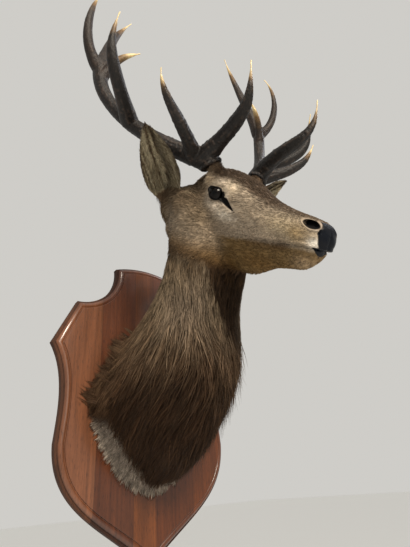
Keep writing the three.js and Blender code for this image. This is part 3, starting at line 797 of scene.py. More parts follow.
def down_neck(points):
    """0 at the skull, 1 at the board."""
    return 1 - smooth(points[:, 2] - 0.45 * points[:, 1], 0.0, 0.46)


def to_nape(points):
    """How far behind the middle of the neck."""
    return points[:, 1] - np.interp(points[:, 2], NECK_AXIS[:, 1], -NECK_AXIS[:, 0])


def coat_depth(points):
    """From the shortest hair on the nose to the mane."""
    behind = -to_head(points)[:, 1]
    on_head = 1.2 * smooth(behind, -252, -236) + 2.6 * smooth(behind, -200, 20) + 2.5 * smooth(behind, 0, 130)
    on_neck = 8 + 11 * smooth(down_neck(points), 0.1, 0.7) - 7 * smooth(points[:, 1], -0.07, -0.03)
    share = head_share(points)
    return (on_head * share + on_neck * (1 - share)) * MM


def subdivide_where(mesh, inside):
    """Halves the edges whose ends are both inside."""
    made = bmesh.new()
    made.from_mesh(mesh)
    made.verts.ensure_lookup_table()
    chosen = [e for e in made.edges if inside[e.verts[0].index] and inside[e.verts[1].index]]
    bmesh.ops.subdivide_edges(made, edges=chosen, cuts=1, use_grid_fill=True)
    made.to_mesh(mesh)
    made.free()
    return points_of(mesh)


def fine_parts(points, room=0):
    """Round the eyes, the tear slits and the nose."""
    m = folded(to_head(points))
    near = lambda where, radii, reach: np.linalg.norm((m - where) / radii, axis=1) < reach + room
    nose = near((20, 244, -4), (1, 1.2, 1.6), 26)
    return near(EYE_AT + EYE_LOOKS * 14, 1, 34) | near((62, 42, -12), (1, 1.7, 1.4), 17) | nose


def distance_to_line(points, line):
    best = np.full(len(points), 1e9)
    for start, end in zip(np.array(line[:-1], float), np.array(line[1:], float)):
        along = end - start
        share = np.clip((points - start) @ along / (along @ along), 0, 1)
        best = np.minimum(best, np.linalg.norm(points - start - along * share[:, None], axis=1))
    return best


def slit_gap(m):
    """Millimetres outside the tear slit, which narrows to its point."""
    along = TEAR_SLIT[1] - TEAR_SLIT[0]
    share = np.clip((m - TEAR_SLIT[0]) @ along / (along @ along), 0, 1)
    off = (m - TEAR_SLIT[0] - along * share[:, None]) * (0.3, 1, 1)  # the depth counts for little
    half_width = np.interp(share, [0, 0.2, 0.5, 1], [7.4, 7.6, 5.4, 1.3])
    return np.linalg.norm(off, axis=1) - half_width + 20 * (m[:, 0] < 30)


def nostril_measure(m):
    """1 at the edge of the nostril, less inside."""
    rel = m - NOSTRIL
    a = rel @ NOSTRIL_ALONG
    c = rel[:, 2] - NOSTRIL_ALONG[2] * a
    value = np.sqrt((a / 17) ** 2 + (c / (5.7 + 1.0 * smooth(a, -14, 6))) ** 2)
    return np.where(m[:, 1] > 205, value, 9.0)


def lid_rim(m):
    """The measure of the eye's opening, wider above the slit and at its back corner, where the black rim is spread as
    painted shade under the upper lid.
    """
    rel, x, y, value = eye_angles(m)
    value = np.where(np.linalg.norm(rel, axis=1) < 34, value, 9.0)
    return value - 0.14 * smooth(-rel[:, 1], 5, 15) - 0.1 * smooth(rel[:, 1], 6, 13) * smooth(m[:, 2], 0, 8)


def pad_gap(m):
    """Millimetres behind the edge of the nose pad, negative on it."""
    return np.maximum(m[:, 0] - np.interp(m[:, 2], PAD_HEIGHTS, PAD_HALVES), 242 - m[:, 1])


build = bmesh.new()
for name in FLESH:
    build.from_mesh(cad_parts[name].data)
bmesh.ops.remove_doubles(build, verts=build.verts, dist=1e-5)
bmesh.ops.recalc_face_normals(build, faces=build.faces)
build.normal_update()
for vert in build.verts:
    vert.co = vert.co + vert.normal * GAP_FILL
for side in (1, -1):
    for place, radius in ((EYE_AT - EYE_LOOKS * 5, SOCKET_FILL), *FILLERS):
        ball = bmesh.ops.create_icosphere(build, subdivisions=3, radius=radius)["verts"]
        bmesh.ops.translate(build, vec=from_head(head_side(place, side)), verts=ball)
hide = applied(facing_out(build, "hide"), "REMESH", mode="VOXEL", voxel_size=HIDE_VOXEL)

# smoothed, most of all by the eyes and least on the nose, then drawn in by the coat's depth
points = points_of(hide)
edges = neighbours_of(hide)
points = relax(points, edges, 10, 1 - 0.75 * smooth(to_head(points)[:, 1], 228, 246))
h = to_head(points)
for side in (1, -1):
    near = np.linalg.norm(h - head_side(EYE_AT + EYE_LOOKS * 10, side), axis=1)
    points = relax(points, edges, 90, 1 - smooth(near, 22, 40))
move_to(hide, points)
flat_back = smooth(points[:, 1], -0.032, -0.026)
points -= normals_of(hide) * (coat_depth(points) * (1 - flat_back))[:, None]
move_to(hide, relax(points, edges, 3, 1 - 0.75 * smooth(h[:, 1], 228, 246)))
for side in (1, -1):
    hide = combined(hide, ear_shell(side), operation="UNION", solver="MANIFOLD")

# finer where the face has its detail, coarser elsewhere
points = points_of(hide)
h = to_head(points)
points = subdivide_where(hide, (h[:, 1] > -62) & (head_share(points) > 0.6) & (np.abs(h[:, 0]) < 82))
hide.calc_loop_triangles()
ratio = SKIN_TRIANGLES / len(hide.loop_triangles)
hide = applied(hide, "DECIMATE", where=~fine_parts(points, 3), ratio=ratio)
points = subdivide_where(hide, fine_parts(points_of(hide)))

# the ears grow out of the skin in a soft curve
h = to_head(points)
near_ear = np.zeros(len(points))
for side in (1, -1):
    root, along, facing, cross = ear_axes(side)
    rise = (h - root) @ along
    wide = np.linalg.norm(h - root - along * rise[:, None], axis=1)
    near_ear = np.maximum(near_ear, (1 - smooth(rise, 18, 48)) * (1 - smooth(wide, 34, 50)) * smooth(rise, -50, -25))
edges = neighbours_of(hide)
points = relax(points, edges, 26, near_ear)
move_to(hide, points)

# bones and hollows, tear slits and lips
h = to_head(points)
m = folded(h)
form = sum(push * spot(m, where, radii) for where, radii, push in FORMS)
slit = slit_gap(m)
form += -SLIT_DEEP * smooth(-slit, -1.2, 2.2) + 0.6 * hump(slit, 3.6, 2)
lips = distance_to_line(m, MOUTH)
over = smooth(m[:, 2] - np.interp(m[:, 1], [118, 168, 215, 255], [-56, -48, -39, -33]), -1, 3)
form += (-5.0 * hump(lips, 0, 2.2) + 2.4 * hump(lips, 5, 3) * over) * smooth(m[:, 1], 108, 150)

# nostril: an almond-shaped hollow with a rolled rim, pinched off from the nose pad
nostril = nostril_measure(m)
near_nostril = m[:, 1] > 205
form += near_nostril * 1.6 * hump(nostril, 1.27, 0.2)
form += -1.2 * hump(pad_gap(m), 0, 1.3) * (m[:, 1] > 235)
form += -2.2 * hump(distance_to_line(m, [(20, 255, -2), (22, 256, -8)]), 0, 1.8)
form += -1.3 * hump(m[:, 0], 0, 1.6) * smooth(m[:, 1], 238, 254) * (1 - smooth(m[:, 2], -6, 6))
points = points + normals_of(hide) * (form * MM)[:, None]
inward = np.array([0, -0.62, 0.05]) + np.where(h[:, :1] >= 0, -0.62, 0.62) * (1, 0, 0)
sink = near_nostril * (1 - smooth(nostril, 0.68, 1.02))
points = points + inward @ HEAD_AXES.T * (sink * NOSTRIL_DEEP * MM)[:, None]

# lids: the skin is drawn over the glass up to a rim round the open part of the eye
h = to_head(points)
for side in (1, -1):
    rel, x, y, opening = eye_angles(h, side)
    reach = np.linalg.norm(rel, axis=1)
    ahead = rel @ head_side(EYE_LOOKS, side)
    lid = EYE_RADIUS + LID_THICK + 3.2 * smooth(opening, 1.15, 1.8)
    lid += 4.5 * smooth(-x, 0.75, 1.35)  # it stands off at the back corner
    drawn = (1 - smooth(opening, 1.25, 1.85)) * (reach < 40) * smooth(ahead, -5, 2)
    drawn *= smooth(slit_gap(head_side(h, side)), -1, 3)  # the slit stays open up to the eye
    new_reach = reach + (lid - reach) * drawn
    inside = (1 - smooth(opening, 0.9, 1.02)) * (reach < 40) * (ahead > 0)
    new_reach = new_reach + (EYE_RADIUS - EYE_SUNK - new_reach) * inside
    crease = -1.3 * hump(opening, 1.42, 0.13) * (y > 0) * (reach < 34)
    h = head_side(EYE_AT, side) + rel * ((new_reach + crease) / reach)[:, None]
points = relax(from_head(h), edges, 1, 0.5)
move_to(hide, points)
hide.shade_smooth()

# ---- markings -----------------------------------------------------------------------------
# A stag in his dark coat: greyish tan face with a rufous forehead, buff round the eyes, golden
# brown jaw, white by the nose, dark throat and mane, and a worn grey fringe along the board;
# the throat's dark is partly painted shade, and painted shade lies under the upper lip.
BRIGHT = 1.28  # makes up for the light lost between the hairs
# a line a little below the mouth, along which painted shade lies under the overhanging upper lip
SHADE_UNDER_LIP = [(30, 200, -46), (38, 160, -58), (42, 120, -62)]
PARTING = [(-28, -269, -28), (-34, -251, -52), (-2, -204, -109)]  # in the mane, in the mount's frame


def markings(points, normals=None):
    """The colours of skin and coat on head and neck."""
    h = to_head(points)
    m = folded(h)
    s, y, z = m.T
    at = lambda where, radii, strength: spot(m, where, radii) * strength
    crown = np.interp(y, [-60, -6, 40, 90, 153, 240], [64, 55, 40, 33, 25, 18]) - s + 5 * mottle(points, 0.012, 21)
    crown = smooth(crown, -7, 7) * smooth(z, -4, 14)
    eye_ring = hump(np.linalg.norm(m - (66, 4, 2), axis=1), 25, 8.5)
    below = smooth(-z - np.interp(y, [60, 118, 168, 215, 263], [66, 55, 47, 39, 31]), 0, 9)
    whisker_roots = smooth(mottle(points, 0.0032, 22), 0.25, 0.6)
    face = layered(
        "#867969",
        (at((75, -30, -60), (40, 60, 50), 0.85), "#5b4c37"),
        (smooth(-y, 8, 50) * smooth(z, -85, -35) * (1 - smooth(z, 14, 34)) * 0.8, "#544635"),
        (at((48, 90, -10), (26, 40, 26), 0.5), "#897c6a"),
        (at((38, 190, -14), (26, 50, 20), 0.85), "#97886f"),
        (at((34, 222, -18), (18, 22, 14), 0.8), "#8d7857"),
        (crown * (1 - 0.2 * smooth(y, 90, 190)), "#43372c"),
        (at((0, 205, 16), (24, 50, 14), 0.75), "#4c3f31"),
        (at((62, -48, 52), (30, 32, 28), 1.1), "#45372a"),
        (eye_ring * (0.45 + 0.4 * smooth(y, -10, 30)), "#bcb0a1"),
        (at((62, 46, -32), (20, 26, 11), 0.8), "#c4bbad"),
        (hump(lid_rim(m), 1.34, 0.11) * 0.7, "#2f251c"),  # dark skin round the lids, with painted shade of the lids
        (at((56, 34, 22), (12, 26, 12), 0.85), "#c3b39c"),
        (at((70, -34, 26), (14, 26, 12), 0.6), "#a8977f"),
        (below * smooth(y, 10, 70) * 0.9, "#5f4a29"),
        (at((30, 150, -95), (36, 60, 22), 0.6), "#583f1e"),
        (smooth(-z, 84, 125) * (1 - smooth(y, 60, 120)) * 0.75, "#58401f"),
        # painted shade under the upper lip
        (hump(distance_to_line(m, SHADE_UNDER_LIP), 0, 9) * 0.72, "#402d1b"),
        (at((8, 240, -62), (20, 20, 16), 0.7), "#8d7a62"),
        (at((14, 236, -56), (20, 24, 16), 0.8) * whisker_roots, "#3b2f26"),
        (at((20, 252, -24), (8, 10, 8), 1.1), "#cfcac0"),
        (smooth(-z, 112, 142) * (1 - smooth(y, 70, 130)) * 0.8, "#33200f"),  # throat: dark hair, and painted shade under the jaw
        (smooth(-y, 52, 100) * smooth(z, -30, 20) * 0.8, "#55452f"),  # poll
    )
    low, back = down_neck(points), to_nape(points)
    patchy = mottle(points, (0.03, 0.03, 0.07), 23)
    tattered = mottle(points, 0.014, 28)
    across, out, up = points[:, 0] / MM, -points[:, 1], points[:, 2] / MM
    front = smooth(-back + 0.012 * patchy, 0.035, 0.075)
    grey_patch = hump(np.abs(across), 66, 42) * hump(up, 140, 42) * smooth(out, 0.2, 0.26)
    swept = -31 + 0.857 * (167 - up) + 5 * mottle(points, 0.012, 28)  # light hair is swept over the throat
    throat = smooth(across - swept, -4, 5) * (1 - smooth(across, 60, 90)) * smooth(up, 40, 80)
    throat *= smooth(out, 0.24, 0.29)
    ragged = 0.009 * mottle(points, 0.014, 29) + 0.005 * mottle(points, 0.005, 30)
    ragged -= 0.018 * smooth(-points[:, 2], 0.13, 0.18)
    by_board = smooth(points[:, 1] + ragged, -0.096, -0.062)
    foot = smooth(-points[:, 2] + 0.01 * tattered, 0.04, 0.085) * (1 - 0.75 * smooth(points[:, 0], 0.03, 0.09))
    neck = layered(
        "#5f5241",
        (smooth(low + 0.08 * patchy, 0.3, 0.75) * 0.85, "#4e3d2e"),
        (smooth(low + 0.1 * patchy, 0.7, 0.98) * 0.8, "#3a281a"),
        (grey_patch * 0.7, "#6f6254"),
        # the throat's dark hair, partly painted shade under the jaw
        (throat * 0.92, "#1d1006"),
        (front * smooth(low, 0.48, 0.85) * 0.75, "#22160d"),
        (hump(distance_to_line(points / MM, PARTING), 0, 9) * 0.85, "#150c06"),
        (smooth(back, 0.03, 0.075) * 0.5, "#54412f"),
        (by_board * foot * 0.9, "#90867a"),
        (by_board * (1 - foot) * 0.45, "#3a2a1d"),
    )
    share = head_share(points)
    streaks = mottle(h, (3.2, 30, 3.2), 26) * share + mottle(points, (0.006, 0.006, 0.05), 27) * (1 - share)
    uneven = 0.09 * mottle(points, 0.006, 24) + 0.1 * mottle(points, 0.0024, 25) + 0.17 * streaks
    return (face * share[:, None] + neck * (1 - share)[:, None]) * BRIGHT * (1 + uneven)[:, None]


def ear_place(points, side):
    """How far up the ear, across it and out of its hollow, in shares of its length and width."""
    root, along, facing, cross = ear_axes(side)
    rel = to_head(points) - root
    return rel @ along / EAR_LENGTH, rel @ cross / EAR_HALF, rel @ facing / EAR_HALF


def inside_ear(normals, side):
    """1 on the hollow side, 0 on the back."""
    return smooth((normals @ HEAD_AXES) @ ear_axes(side)[2], -0.25, 0.25)


def ear_markings(points, normals, side):
    rise, wide, out = ear_place(points, side)
    streaks = mottle(np.stack([wide * 14, rise * 3.2, 0 * rise], 1), 1.0, 31)
    past = wide * side - np.interp(rise, FOLD_RISE, FOLD_WIDE)  # beyond the fold
    below_tip = 1 - smooth(rise, 0.8, 0.95)
    hollow = layered(
        "#857a63",
        (smooth(streaks, 0.0, 0.5), "#a89d84"),
        (smooth(-streaks, 0.15, 0.6) * 0.85, "#4a3a2c"),
        # painted shade in the hollow beyond the fold, deepest at the foot of the hollow
        (smooth(past, -0.06, 0.03) * (1 - 0.75 * smooth(past, 0.1, 0.5)) * below_tip * 0.8, "#2f261d"),
        (hump(wide * side, -0.05, 0.14) * (1 - smooth(rise, 0.1, 0.25)) * 0.85, "#1d1610"),
    )
    back = np.array(linear("#6d5b48")[:3])
    leaf = np.maximum(0.05, np.sin(np.pi * (0.14 + 0.86 * np.clip(rise, 0, 1) ** 0.9)) ** 0.8)
    return layered(
        back + (hollow - back) * inside_ear(normals, side)[:, None],
        (smooth(np.abs(wide) / leaf, 0.84, 0.97) * smooth(rise, 0.1, 0.25) * 0.6, "#2b211a"),
        (smooth(rise, 0.88, 0.97) * 0.9, "#2b1f18"),
        (smooth(-rise, -0.12, 0.02) * 0.4, "#7b6751"),
    )


def on_ear(points):
    """Which ear a point lies on: 1 right, -1 left, 0 neither."""
    found = np.zeros(len(points), int)
    for side in (1, -1):
        rise, wide, out = ear_place(points, side)
        found[(rise > 0.12) & (rise < 1.1) & (np.abs(wide) < 1.3) & (np.abs(out) < 1.2)] = side
    return found


def bare_gap(points):
    """Millimetres from the nearest bare part, negative on it."""
    m = folded(to_head(points))
    lips = distance_to_line(m, MOUTH) - 1.6 + 9 * (m[:, 1] < 118)
    eye, nostril = (lid_rim(m) - 1.23) * 15, (nostril_measure(m) - 1.15) * 9
    return np.minimum.reduce([eye, slit_gap(m) - 1.3, nostril, pad_gap(m) - 0.5, lips])


points = points_of(hide)
normals = normals_of(hide)
colour = markings(points)
ear = on_ear(points)
for side in (1, -1):
    colour[ear == side] = ear_markings(points[ear == side], normals[ear == side], side)
m = folded(to_head(points))
nostril = nostril_measure(m)
rims = np.maximum.reduce([
    1 - smooth(nostril, 0.98, 1.12),
    1 - smooth(slit_gap(m), 0.2, 1.3),
    1 - smooth(lid_rim(m), 1.15, 1.27),
    (1 - smooth(distance_to_line(m, MOUTH), 1.4, 2.6)) * smooth(m[:, 1], 118, 150),
])
pad = 1 - smooth(pad_gap(m), -0.6, 0.9)
nostril_band = hump(nostril, 1.22, 0.14) * (0.75 + 0.35 * mottle(points, 0.002, 33))
nostril_band *= 0.3 + 0.6 * smooth(m[:, 1], 230, 246)
paint_points(hide, "coat", layered(colour, (nostril_band, "#a09488"), (rims, "#050303"), (pad, "#070b13")))
paint_points(hide, "bare", pad * (1 - 0.7 * smooth(m[:, 2], -6, 6)) + 0.4 * rims)

# Tanned hide with its short hair: matt, with the fine streaky relief of hair lying flat; bare
# nose leather and lid rims are black, pebbled and slightly glossy.
HAIR_STREAK = 0.0022
PEBBLE = 0.0016  # the cells of the nose leather, drawn twice their size
hide_finish, tree, shader = new_finish("tanned_hide_and_nose_leather")
coords = places_on(tree)
bare = painted(tree, "bare")["Fac"]
streak = noise(tree, coords, 1 / HAIR_STREAK, 4.0, Distortion=1.2)
cells = {"Vector": coords, "Scale": 1 / PEBBLE}
pebble = add_node(tree, "TexVoronoi", cells, feature="DISTANCE_TO_EDGE").outputs["Distance"]
hair_light = blend(tree, bare, remap(tree, streak, 0.3, 0.7, 0.74, 1.18), 1.0)
set_inputs(shader, {
    "Base Color": dimmed(tree, painted(tree, "coat")["Color"], hair_light),
    "Roughness": remap(tree, bare, 0.0, 1.0, 0.85, 0.34),
    "Specular IOR Level": 0.14,
    "Normal": bump(tree, blend(tree, bare, streak, pebble), 0.4, 0.0007),
})
put("hide", hide, hide_finish, "coat_tan", *FLESH, "ear_R", "ear_L")

# ---- coat ---------------------------------------------------------------------------------
# Hair in pointed tufts that overlap like thatch, rooted in the hide: a few millimetres long on
# the muzzle, a finger long on the neck, longest in the mane under the throat.
MOST_TRIANGLES = 190000  # in one piece of the coat
TUFT_PATCH = 0.003  # room for one tuft in the skin laid flat
ROOTS = {"face": 12000, "neck": 3450, "mane": 3950, "fringe": 1500, "flicks": 300, "ear": 2100}
WALL_GAP = 0.0275  # no roots nearer the wall
BOARD_GAP = 0.0008  # between the board and hair pressed against it
BURR_ROOM, EAR_ROOM = 34, 48  # round the foot of an antler and the root of an ear, in millimetres
OFF_SKIN = 0.005
RISE = [-0.12, 0.42, 0.74, 0.92, 1.0]  # of a tuft from its root to its tip
random = np.random.default_rng(7)
surface = BVHTree.FromPolygons([Vector(p) for p in points], [tuple(f.vertices) for f in hide.polygons])
face_ends = np.array([(f.vertices[0], f.vertices[2]) for f in hide.polygons])
hide.calc_loop_triangles()
corners = read(hide.loop_triangles, "vertices", 3, np.int32)
first, second, third = points[corners.T]
triangle_area = np.linalg.norm(np.cross(second - first, third - first), axis=1) / 2
middle = points[corners].mean(1)

# Stag's hair: coarse, hollow and hardly glossy, so it looks soft and dry; the colours run with
# the markings of the skin.
hair_finish, tree, shader = new_finish("coarse_deer_hair")
set_inputs(shader, {"Base Color": painted(tree, "hair")["Color"], "Roughness": 0.62, "Specular IOR Level": 0.1})


def along_skin(lie, normals):
    return unit(lie - normals * (lie * normals).sum(1)[:, None])


def lie_of_coat(points, normals):
    """The way the hair points, along the skin."""
    h = to_head(points)
    m = folded(h)
    sideways = np.where(h[:, 0] >= 0, 0.12, -0.12) * smooth(m[:, 2], 0, 40)
    cheek = smooth(m[:, 0], 10, 50) * smooth(-m[:, 1], -140, 0)
    upward = -0.15 - 0.45 * cheek + 0.35 * smooth(m[:, 2], 10, 40)
    face = unit(np.stack([sideways, np.full(len(m), -1.0), upward], 1)) @ HEAD_AXES.T
    out, up = NECK_AXIS.T
    height = np.clip(points[:, 2], up[0] + 0.01, up[-1] - 0.01)
    slope = np.interp(height - 0.01, up, out) - np.interp(height + 0.01, up, out)
    down = unit(np.stack([0 * slope, -slope / 0.02, -np.ones(len(slope))], 1))
    down[:, 1] = np.maximum(down[:, 1], 0)
    neck = unit(down + (0, 0, -0.45))
    # hair near the board turns out over it
    by_board = smooth(points[:, 1], -0.10, -0.03)[:, None]
    outward = unit(points * (1, 0, 1) - (0, 0, 0.04))
    neck = neck * (1 - by_board) + by_board * (outward * 0.75 + (0, 0.25, -0.5))
    # the swirl where throat and cheek hair meet
    fan = np.tanh((points[:, 0] + 0.087) / 0.03) * hump(points[:, 2], 0.05, 0.07) * (points[:, 0] < 0)
    across = 0.3 * mottle(points, 0.05, 41) + 0.35 * fan
    neck = neck + np.stack([across, 0.2 * mottle(points, 0.05, 42), 0 * across], 1)
    share = head_share(points)[:, None]
    return along_skin(face * share + neck * (1 - share), normals)


def lie_on_ear(points, normals, side):
    root, along, facing, cross = ear_axes(side)
    rise, wide, out = ear_place(points, side)
    lie = along + cross * (wide * (0.15 - 0.75 * inside_ear(normals, side)))[:, None]
    return along_skin(lie @ HEAD_AXES.T, normals)


def lie_of_fringe(points, normals):
    outward = unit(points * (1, 0, 1) + (0, 0, 0.01))
    loose = np.stack([mottle(points, 0.02, 51), 0 * points[:, 0], mottle(points, 0.02, 52)], 1)
    lie = outward * 0.55 + (0, 0.75, -0.3) + 0.3 * loose
    return unit(lie - normals * np.minimum(0, (lie * normals).sum(1))[:, None])


def lie_of_flicks(points, normals):
    loose = np.stack([mottle(points, 0.02, seed) for seed in (53, 54, 55)], 1)
    return unit(np.sign(points[:, :1]) * (0.75, 0, 0) + (0, 0.3, 0.45) + 0.4 * loose)


def scatter(weights, count):
    """Roots on the hide, denser where the weights of its triangles are larger."""
    share = np.cumsum(triangle_area * weights)
    picked = corners[np.searchsorted(share, random.random(count) * share[-1])]
    u, v = random.random((2, count))
    flip = u + v > 1
    u[flip], v[flip] = 1 - u[flip], 1 - v[flip]
    shares = np.stack([1 - u - v, u, v], 1)[..., None]
    return (points[picked] * shares).sum(1), unit((normals[picked] * shares).sum(1))


def turned(vectors, axes, angles):
    return vectors * np.cos(angles)[:, None] + np.cross(axes, vectors) * np.sin(angles)[:, None]


def chart(points, region):
    """The skin laid flat: round the body in one direction, along it in the other."""
    if region in (1, -1):
        rise, wide, out = ear_place(points, region)
        inner = (out > 0.1 * wide**2).astype(float)
        u = 0.02 + 0.11 * (np.clip(wide, -1.2, 1.2) + 1.2) / 1.2 + 0.24 * inner + (0.5 if region < 0 else 0)
        return np.stack([u, 0.85 + 0.13 * np.clip(rise, 0, 1.1) / 1.1], 1)
    if region == "head":
        h = to_head(points)
        angle = np.arctan2(h[:, 0], h[:, 2] + 40 - 0.1 * h[:, 1])
        v = 0.51 + 0.32 * np.clip((h[:, 1] + 170) / 440, 0, 1)
    else:
        angle = np.arctan2(points[:, 0], to_nape(points))
        v = 0.01 + 0.47 * np.clip((points[:, 2] + 0.22) / 0.68, 0, 1)
    return np.stack([0.01 + 0.98 * (angle / (2 * math.pi) + 0.5), v], 1)


def leaders(roots, facing, length, stations, wander, lie, free):
    """A line from each root along the skin, the way up from it, and how far it left the skin."""
    direction = turned(lie(roots, facing), facing, random.normal(0, wander, len(roots)))
    bend = random.normal(0, 0.10, len(roots))
    step = (length / (stations - 1))[:, None]
    lines, ups, far_off = [roots], [facing], 0
    for k in range(1, stations):
        ahead = lines[-1] + direction * step
        found = [surface.find_nearest(Vector(p)) for p in ahead]
        snapped = np.array([f[0] for f in found])
        far = np.linalg.norm(snapped - ahead, axis=1)
        far_off = np.maximum(far_off, far)
        # past an edge hair runs on straight
        hold = np.ones((len(roots), 1)) if free else smooth(far, 0.004, 0.012)[:, None]
        up = unit(normals[face_ends[[f[2] for f in found]]].sum(1) + ups[-1])
        lines.append(snapped * (1 - hold) + ahead * hold)
        ups.append(unit(up * (1 - hold) + ups[-1] * hold))
        direction = unit(direction * 0.35 + lie(lines[-1], ups[-1]) * 0.65)
        direction = unit(turned(direction, ups[-1], bend))
    return np.stack(lines, 1), np.stack(ups, 1), far_off


def room_on(lines, stop):
    """The share of each line before it comes to bare skin or has to stop."""
    last = lines.shape[1] - 1
    room = np.ones(len(lines))
    for k in range(last, 0, -1):
        room[bare_gap(lines[:, k]) < 0.5] = (k - 0.6) / last
        if stop is not None:
            room = np.where(stop(lines[:, k]), np.minimum(room, (k - 0.3) / last), room)
    return room


def spike_faces(stations):
    """A three-sided tuft from its root to its tip."""
    tip = 3 * (stations - 1)
    faces = [(0, 2, 1)]
    for p in range(tip):
        q = p + 1 if p % 3 < 2 else p - 2
        faces += [(p, q, q + 3), (p, q + 3, p + 3)] if p < tip - 3 else [(p, q, tip)]
    return np.array(faces)


def grow(name, slot, region, roots, facing, length, width, height, members, spread, gather, tip_tone, stations=4,
         wander=0.12, lie=lie_of_coat, tone=markings, flick=None, root_shade=0.7, free=False, stop=None, vary=0.18):
    """Tufts in locks of so many members to a root; spread is a share of the length."""
    lines, ups, far_off = leaders(roots, facing, length, stations, wander, lie, free)
    total = len(roots) * members
    owner = np.repeat(np.arange(len(roots)), members)
    width, height = (np.broadcast_to(measure, len(roots))[owner] for measure in (width, height))
    steps = np.linspace(0, 1, stations)

    # each member runs beside its leader, not quite as far or a little further
    stretch = random.uniform(0.78, 1.12, total) * room_on(lines, stop)[owner]
    reach = np.arange(stations) * stretch[:, None]
    at = np.clip(reach, 0, stations - 1 - 1e-6)
    low = at.astype(int)
    share = (at - low)[..., None]
    rows = owner[:, None]
    beyond = np.maximum(0, reach - (stations - 1))[..., None] * (lines[:, -1:] - lines[:, -2:-1])[owner]
    paths = lines[rows, low] * (1 - share) + lines[rows, low + 1] * share + beyond
    along = unit(paths[:, 1] - paths[:, 0])
    angle = random.uniform(0, 2 * math.pi, total)
    radius = np.sqrt(random.random(total)) * (length * spread)[owner]
    aside = unit(np.cross(along, facing[owner])) * (radius * np.cos(angle))[:, None]
    paths += aside[:, None] * (1 - gather * steps[:, None] ** 1.3)
    paths += (along * (radius * np.sin(angle))[:, None])[:, None]
    ups = ups[owner]
    tall = height * random.uniform(0.35, 1.0, total)
    paths += ups * (tall[:, None] * np.interp(steps, np.linspace(0, 1, len(RISE)), RISE))[..., None]
    if flick is not None:
        paths += ups * (flick[owner] * random.random(total) ** 2)[:, None, None] * steps[:, None] ** 2
    half = width * random.uniform(0.7, 1.25, total) / 2 * np.minimum(1, 0.5 + 0.5 * stretch)
    clear = np.minimum.reduce([bare_gap(paths[:, k]) for k in range(stations)]) > 0.2
    if not free:  # none hangs off the skin by an ear's root
        by_ear = np.abs(np.abs(to_head(roots)) - np.abs(EAR_ROOT)).max(1) < EAR_ROOM
        clear &= ~((far_off > OFF_SKIN) & by_ear)[owner]

    # a spike round each path
    tangent = unit(np.gradient(paths, axis=1))
    flat = unit(np.cross(tangent, ups))
    half = (half[:, None] * np.interp(steps[:-1], [0, 0.35, 0.7, 1], [0.75, 1.0, 0.72, 0.1]))[..., None]
    crest = np.cross(flat, tangent)[:, :-1] * half * 0.7
    flat = flat[:, :-1] * half
    body = paths[:, :-1]
    rings = np.stack([body - flat, body + flat, body + crest], 2)
    verts = np.concatenate([rings.reshape(total, -1, 3), paths[:, -1:]], 1)
    verts[..., 1] = np.minimum(verts[..., 1], -BOARD_THICK - BOARD_GAP)  # the board stops them
    faces = spike_faces(stations)

    # no two tufts or locks are quite alike, and roots lie in shadow
    colour = tone(roots, facing)[owner] * random.normal(1.0, vary, total).clip(0.55, 1.6)[:, None]
    colour = colour * random.normal(1.0, vary, len(roots)).clip(0.55, 1.6)[owner][:, None]
    fade = np.append(np.repeat(steps[:-1], 3), 1.0)
    shade = root_shade + (1 - root_shade) * smooth(fade, 0.0, 0.45)
    shade = shade * (1 + (tip_tone - 1) * fade**2 * random.uniform(0.3, 1.2, total)[:, None])
    colours = colour[:, None] * shade[..., None]
    patch = np.stack([np.append(np.tile([-0.5, 0.5, 0.0], stations - 1), 0.0), fade - 0.5], 1) * TUFT_PATCH
    uv = np.clip(chart(roots[owner] + aside, region)[:, None] + patch, 0.001, 0.999)

    kept = np.argsort(roots[owner, 2], kind="stable")
    kept = kept[clear[kept]]
    batches = np.array_split(kept, max(1, -(-len(kept) // (MOST_TRIANGLES // len(faces)))))
    for number, batch in enumerate(batches, 1):
        triangles = (faces + (np.arange(len(batch)) * verts.shape[1])[:, None, None]).reshape(-1, 3)
        made = mesh_from(name, verts[batch].reshape(-1, 3), triangles)
        layer = made.uv_layers.new(name="OFBake")
        layer.data.foreach_set("uv", uv[batch].reshape(-1, 2)[triangles.ravel()].astype(np.float32).ravel())
        paint_points(made, "hair", colours[batch].reshape(-1, 3))
        made.shade_smooth()
        put(f"{name}_{number}", made, hair_finish, slot)


from_burr = folded(to_head(middle)) - BURR_AT
haired = (bare_gap(middle) > 0.6) & (middle[:, 1] < -WALL_GAP)
haired &= (from_burr @ BURR_AXIS < -2) | (np.linalg.norm(from_burr, axis=1) > BURR_ROOM)  # none under the antlers
ear_of = on_ear(middle)
body = (ear_of == 0) & haired
share_of_head = head_share(middle)
low_of = down_neck(middle)

# face and cheeks
weight = body * (share_of_head > 0.5) * (1.0 + 0.8 * smooth(to_head(middle)[:, 1], 60, 200))
roots, facing = scatter(weight, ROOTS["face"])
h = to_head(roots)
length = (5 + 4.5 * smooth(-h[:, 1], -190, -40) + 9 * smooth(-h[:, 1], 10, 130)) * MM
length *= 0.55 + 0.45 * smooth(np.linalg.norm(folded(h) - EYE_AT, axis=1), 20, 42)
grow("coat_face", "coat_tan", "head", roots, facing, length, length * 0.06 + 0.55 * MM, coat_depth(roots) * 0.8,
     members=2, spread=0.3, gather=0.35, tip_tone=1.12, vary=0.13)

# neck, from the poll and throat down to the shoulder of the mane
roots, facing = scatter(body * (share_of_head <= 0.5) * (1 - smooth(low_of, 0.45, 0.7)), ROOTS["neck"])
low_at = down_neck(roots)
length = (36 + 28 * smooth(low_at, 0.1, 0.6)) * MM
grow("coat_neck", "coat_grey", "neck", roots, facing, length, (1.05 + 0.5 * low_at) * MM, coat_depth(roots) * 0.9,
     members=5, spread=0.13, gather=0.5, tip_tone=1.3, stations=5, root_shade=0.5, vary=0.19)

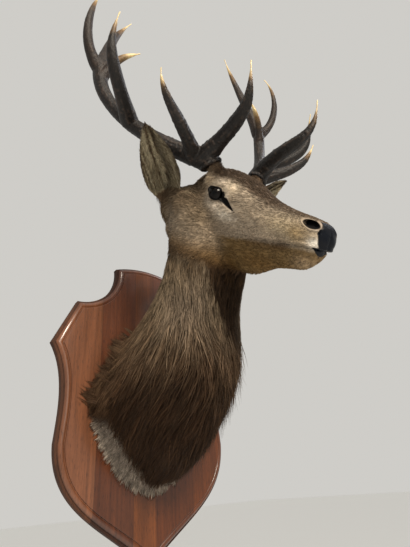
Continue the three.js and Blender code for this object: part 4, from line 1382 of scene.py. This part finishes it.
# mane, down to the board, with wisps that stand off the breast
roots, facing = scatter(body * (share_of_head <= 0.5) * smooth(low_of, 0.4, 0.68), ROOTS["mane"])
near_board = smooth(roots[:, 1], -0.085, -0.035)
front = smooth(-roots[:, 1], 0.15, 0.2)
wisp = random.random(len(roots)) < 0.1 + 0.22 * front
length = (60 + 22 * down_neck(roots) - 40 * near_board) * MM + 22 * MM * wisp * front
grow("coat_mane", "coat_dark", "neck", roots, facing, length, (1.6 - 0.5 * near_board) * MM, coat_depth(roots) * 0.95,
     members=5, spread=0.13, gather=0.6, tip_tone=1.55, stations=5, root_shade=0.45, vary=0.3,
     flick=(5 + (9 + 8 * front) * wisp) * MM * (1 - 0.6 * near_board),
     stop=lambda p: (p[:, 1] > -0.07 + 0.02 * smooth(-p[:, 2], 0.13, 0.18)) & (p[:, 2] < -0.05))

# fringe: worn grey hair round the foot of the mane, and dark flicks over the board above it
weight = body * (middle[:, 1] > -0.082) * (0.2 + smooth(-middle[:, 2], 0.02, 0.07)) * (share_of_head < 0.2)
roots, facing = scatter(weight, ROOTS["fringe"])
length = (15 + 8 * random.random(len(roots))) * MM
grow("coat_fringe", "coat_dark", "neck", roots, facing, length, 0.85 * MM, 6 * MM, members=5, spread=0.2,
     gather=0.1, tip_tone=1.15, wander=0.3, lie=lie_of_fringe, root_shade=0.65, free=True, vary=0.3)

# tousled locks that stand out over the board at the shoulders of the mane
weight = body * (middle[:, 1] > -0.09) * (np.abs(middle[:, 2] - 0.035) < 0.075)
roots, facing = scatter(weight * smooth(mottle(middle, 0.03, 56), -0.2, 0.3), ROOTS["flicks"])
length = (26 + 20 * random.random(len(roots))) * MM
grow("coat_flicks", "coat_dark", "neck", roots, facing, length, 1.3 * MM, 4 * MM, members=7, spread=0.12,
     gather=0.5, tip_tone=1.1, stations=5, wander=0.2, lie=lie_of_flicks, root_shade=0.6, free=True)

# ears, with longer hair at the foot of the hollow
for side, suffix in SIDES:
    roots, facing = scatter((ear_of == side) & haired, ROOTS["ear"])
    low = ear_place(roots, side)[0]
    inner = inside_ear(facing, side)
    length = (6.5 + 5 * inner * (1 - 0.6 * low) + 12 * inner * (low < 0.4) * (random.random(len(roots)) > 0.8)) * MM
    grow(f"coat_ear_{suffix}", "coat_grey", side, roots, facing, length, 0.95 * MM, (1.2 + 1.2 * inner) * MM,
         members=2, spread=0.25, gather=0.3, tip_tone=1.15,
         lie=partial(lie_on_ear, side=side), tone=partial(ear_markings, side=side))
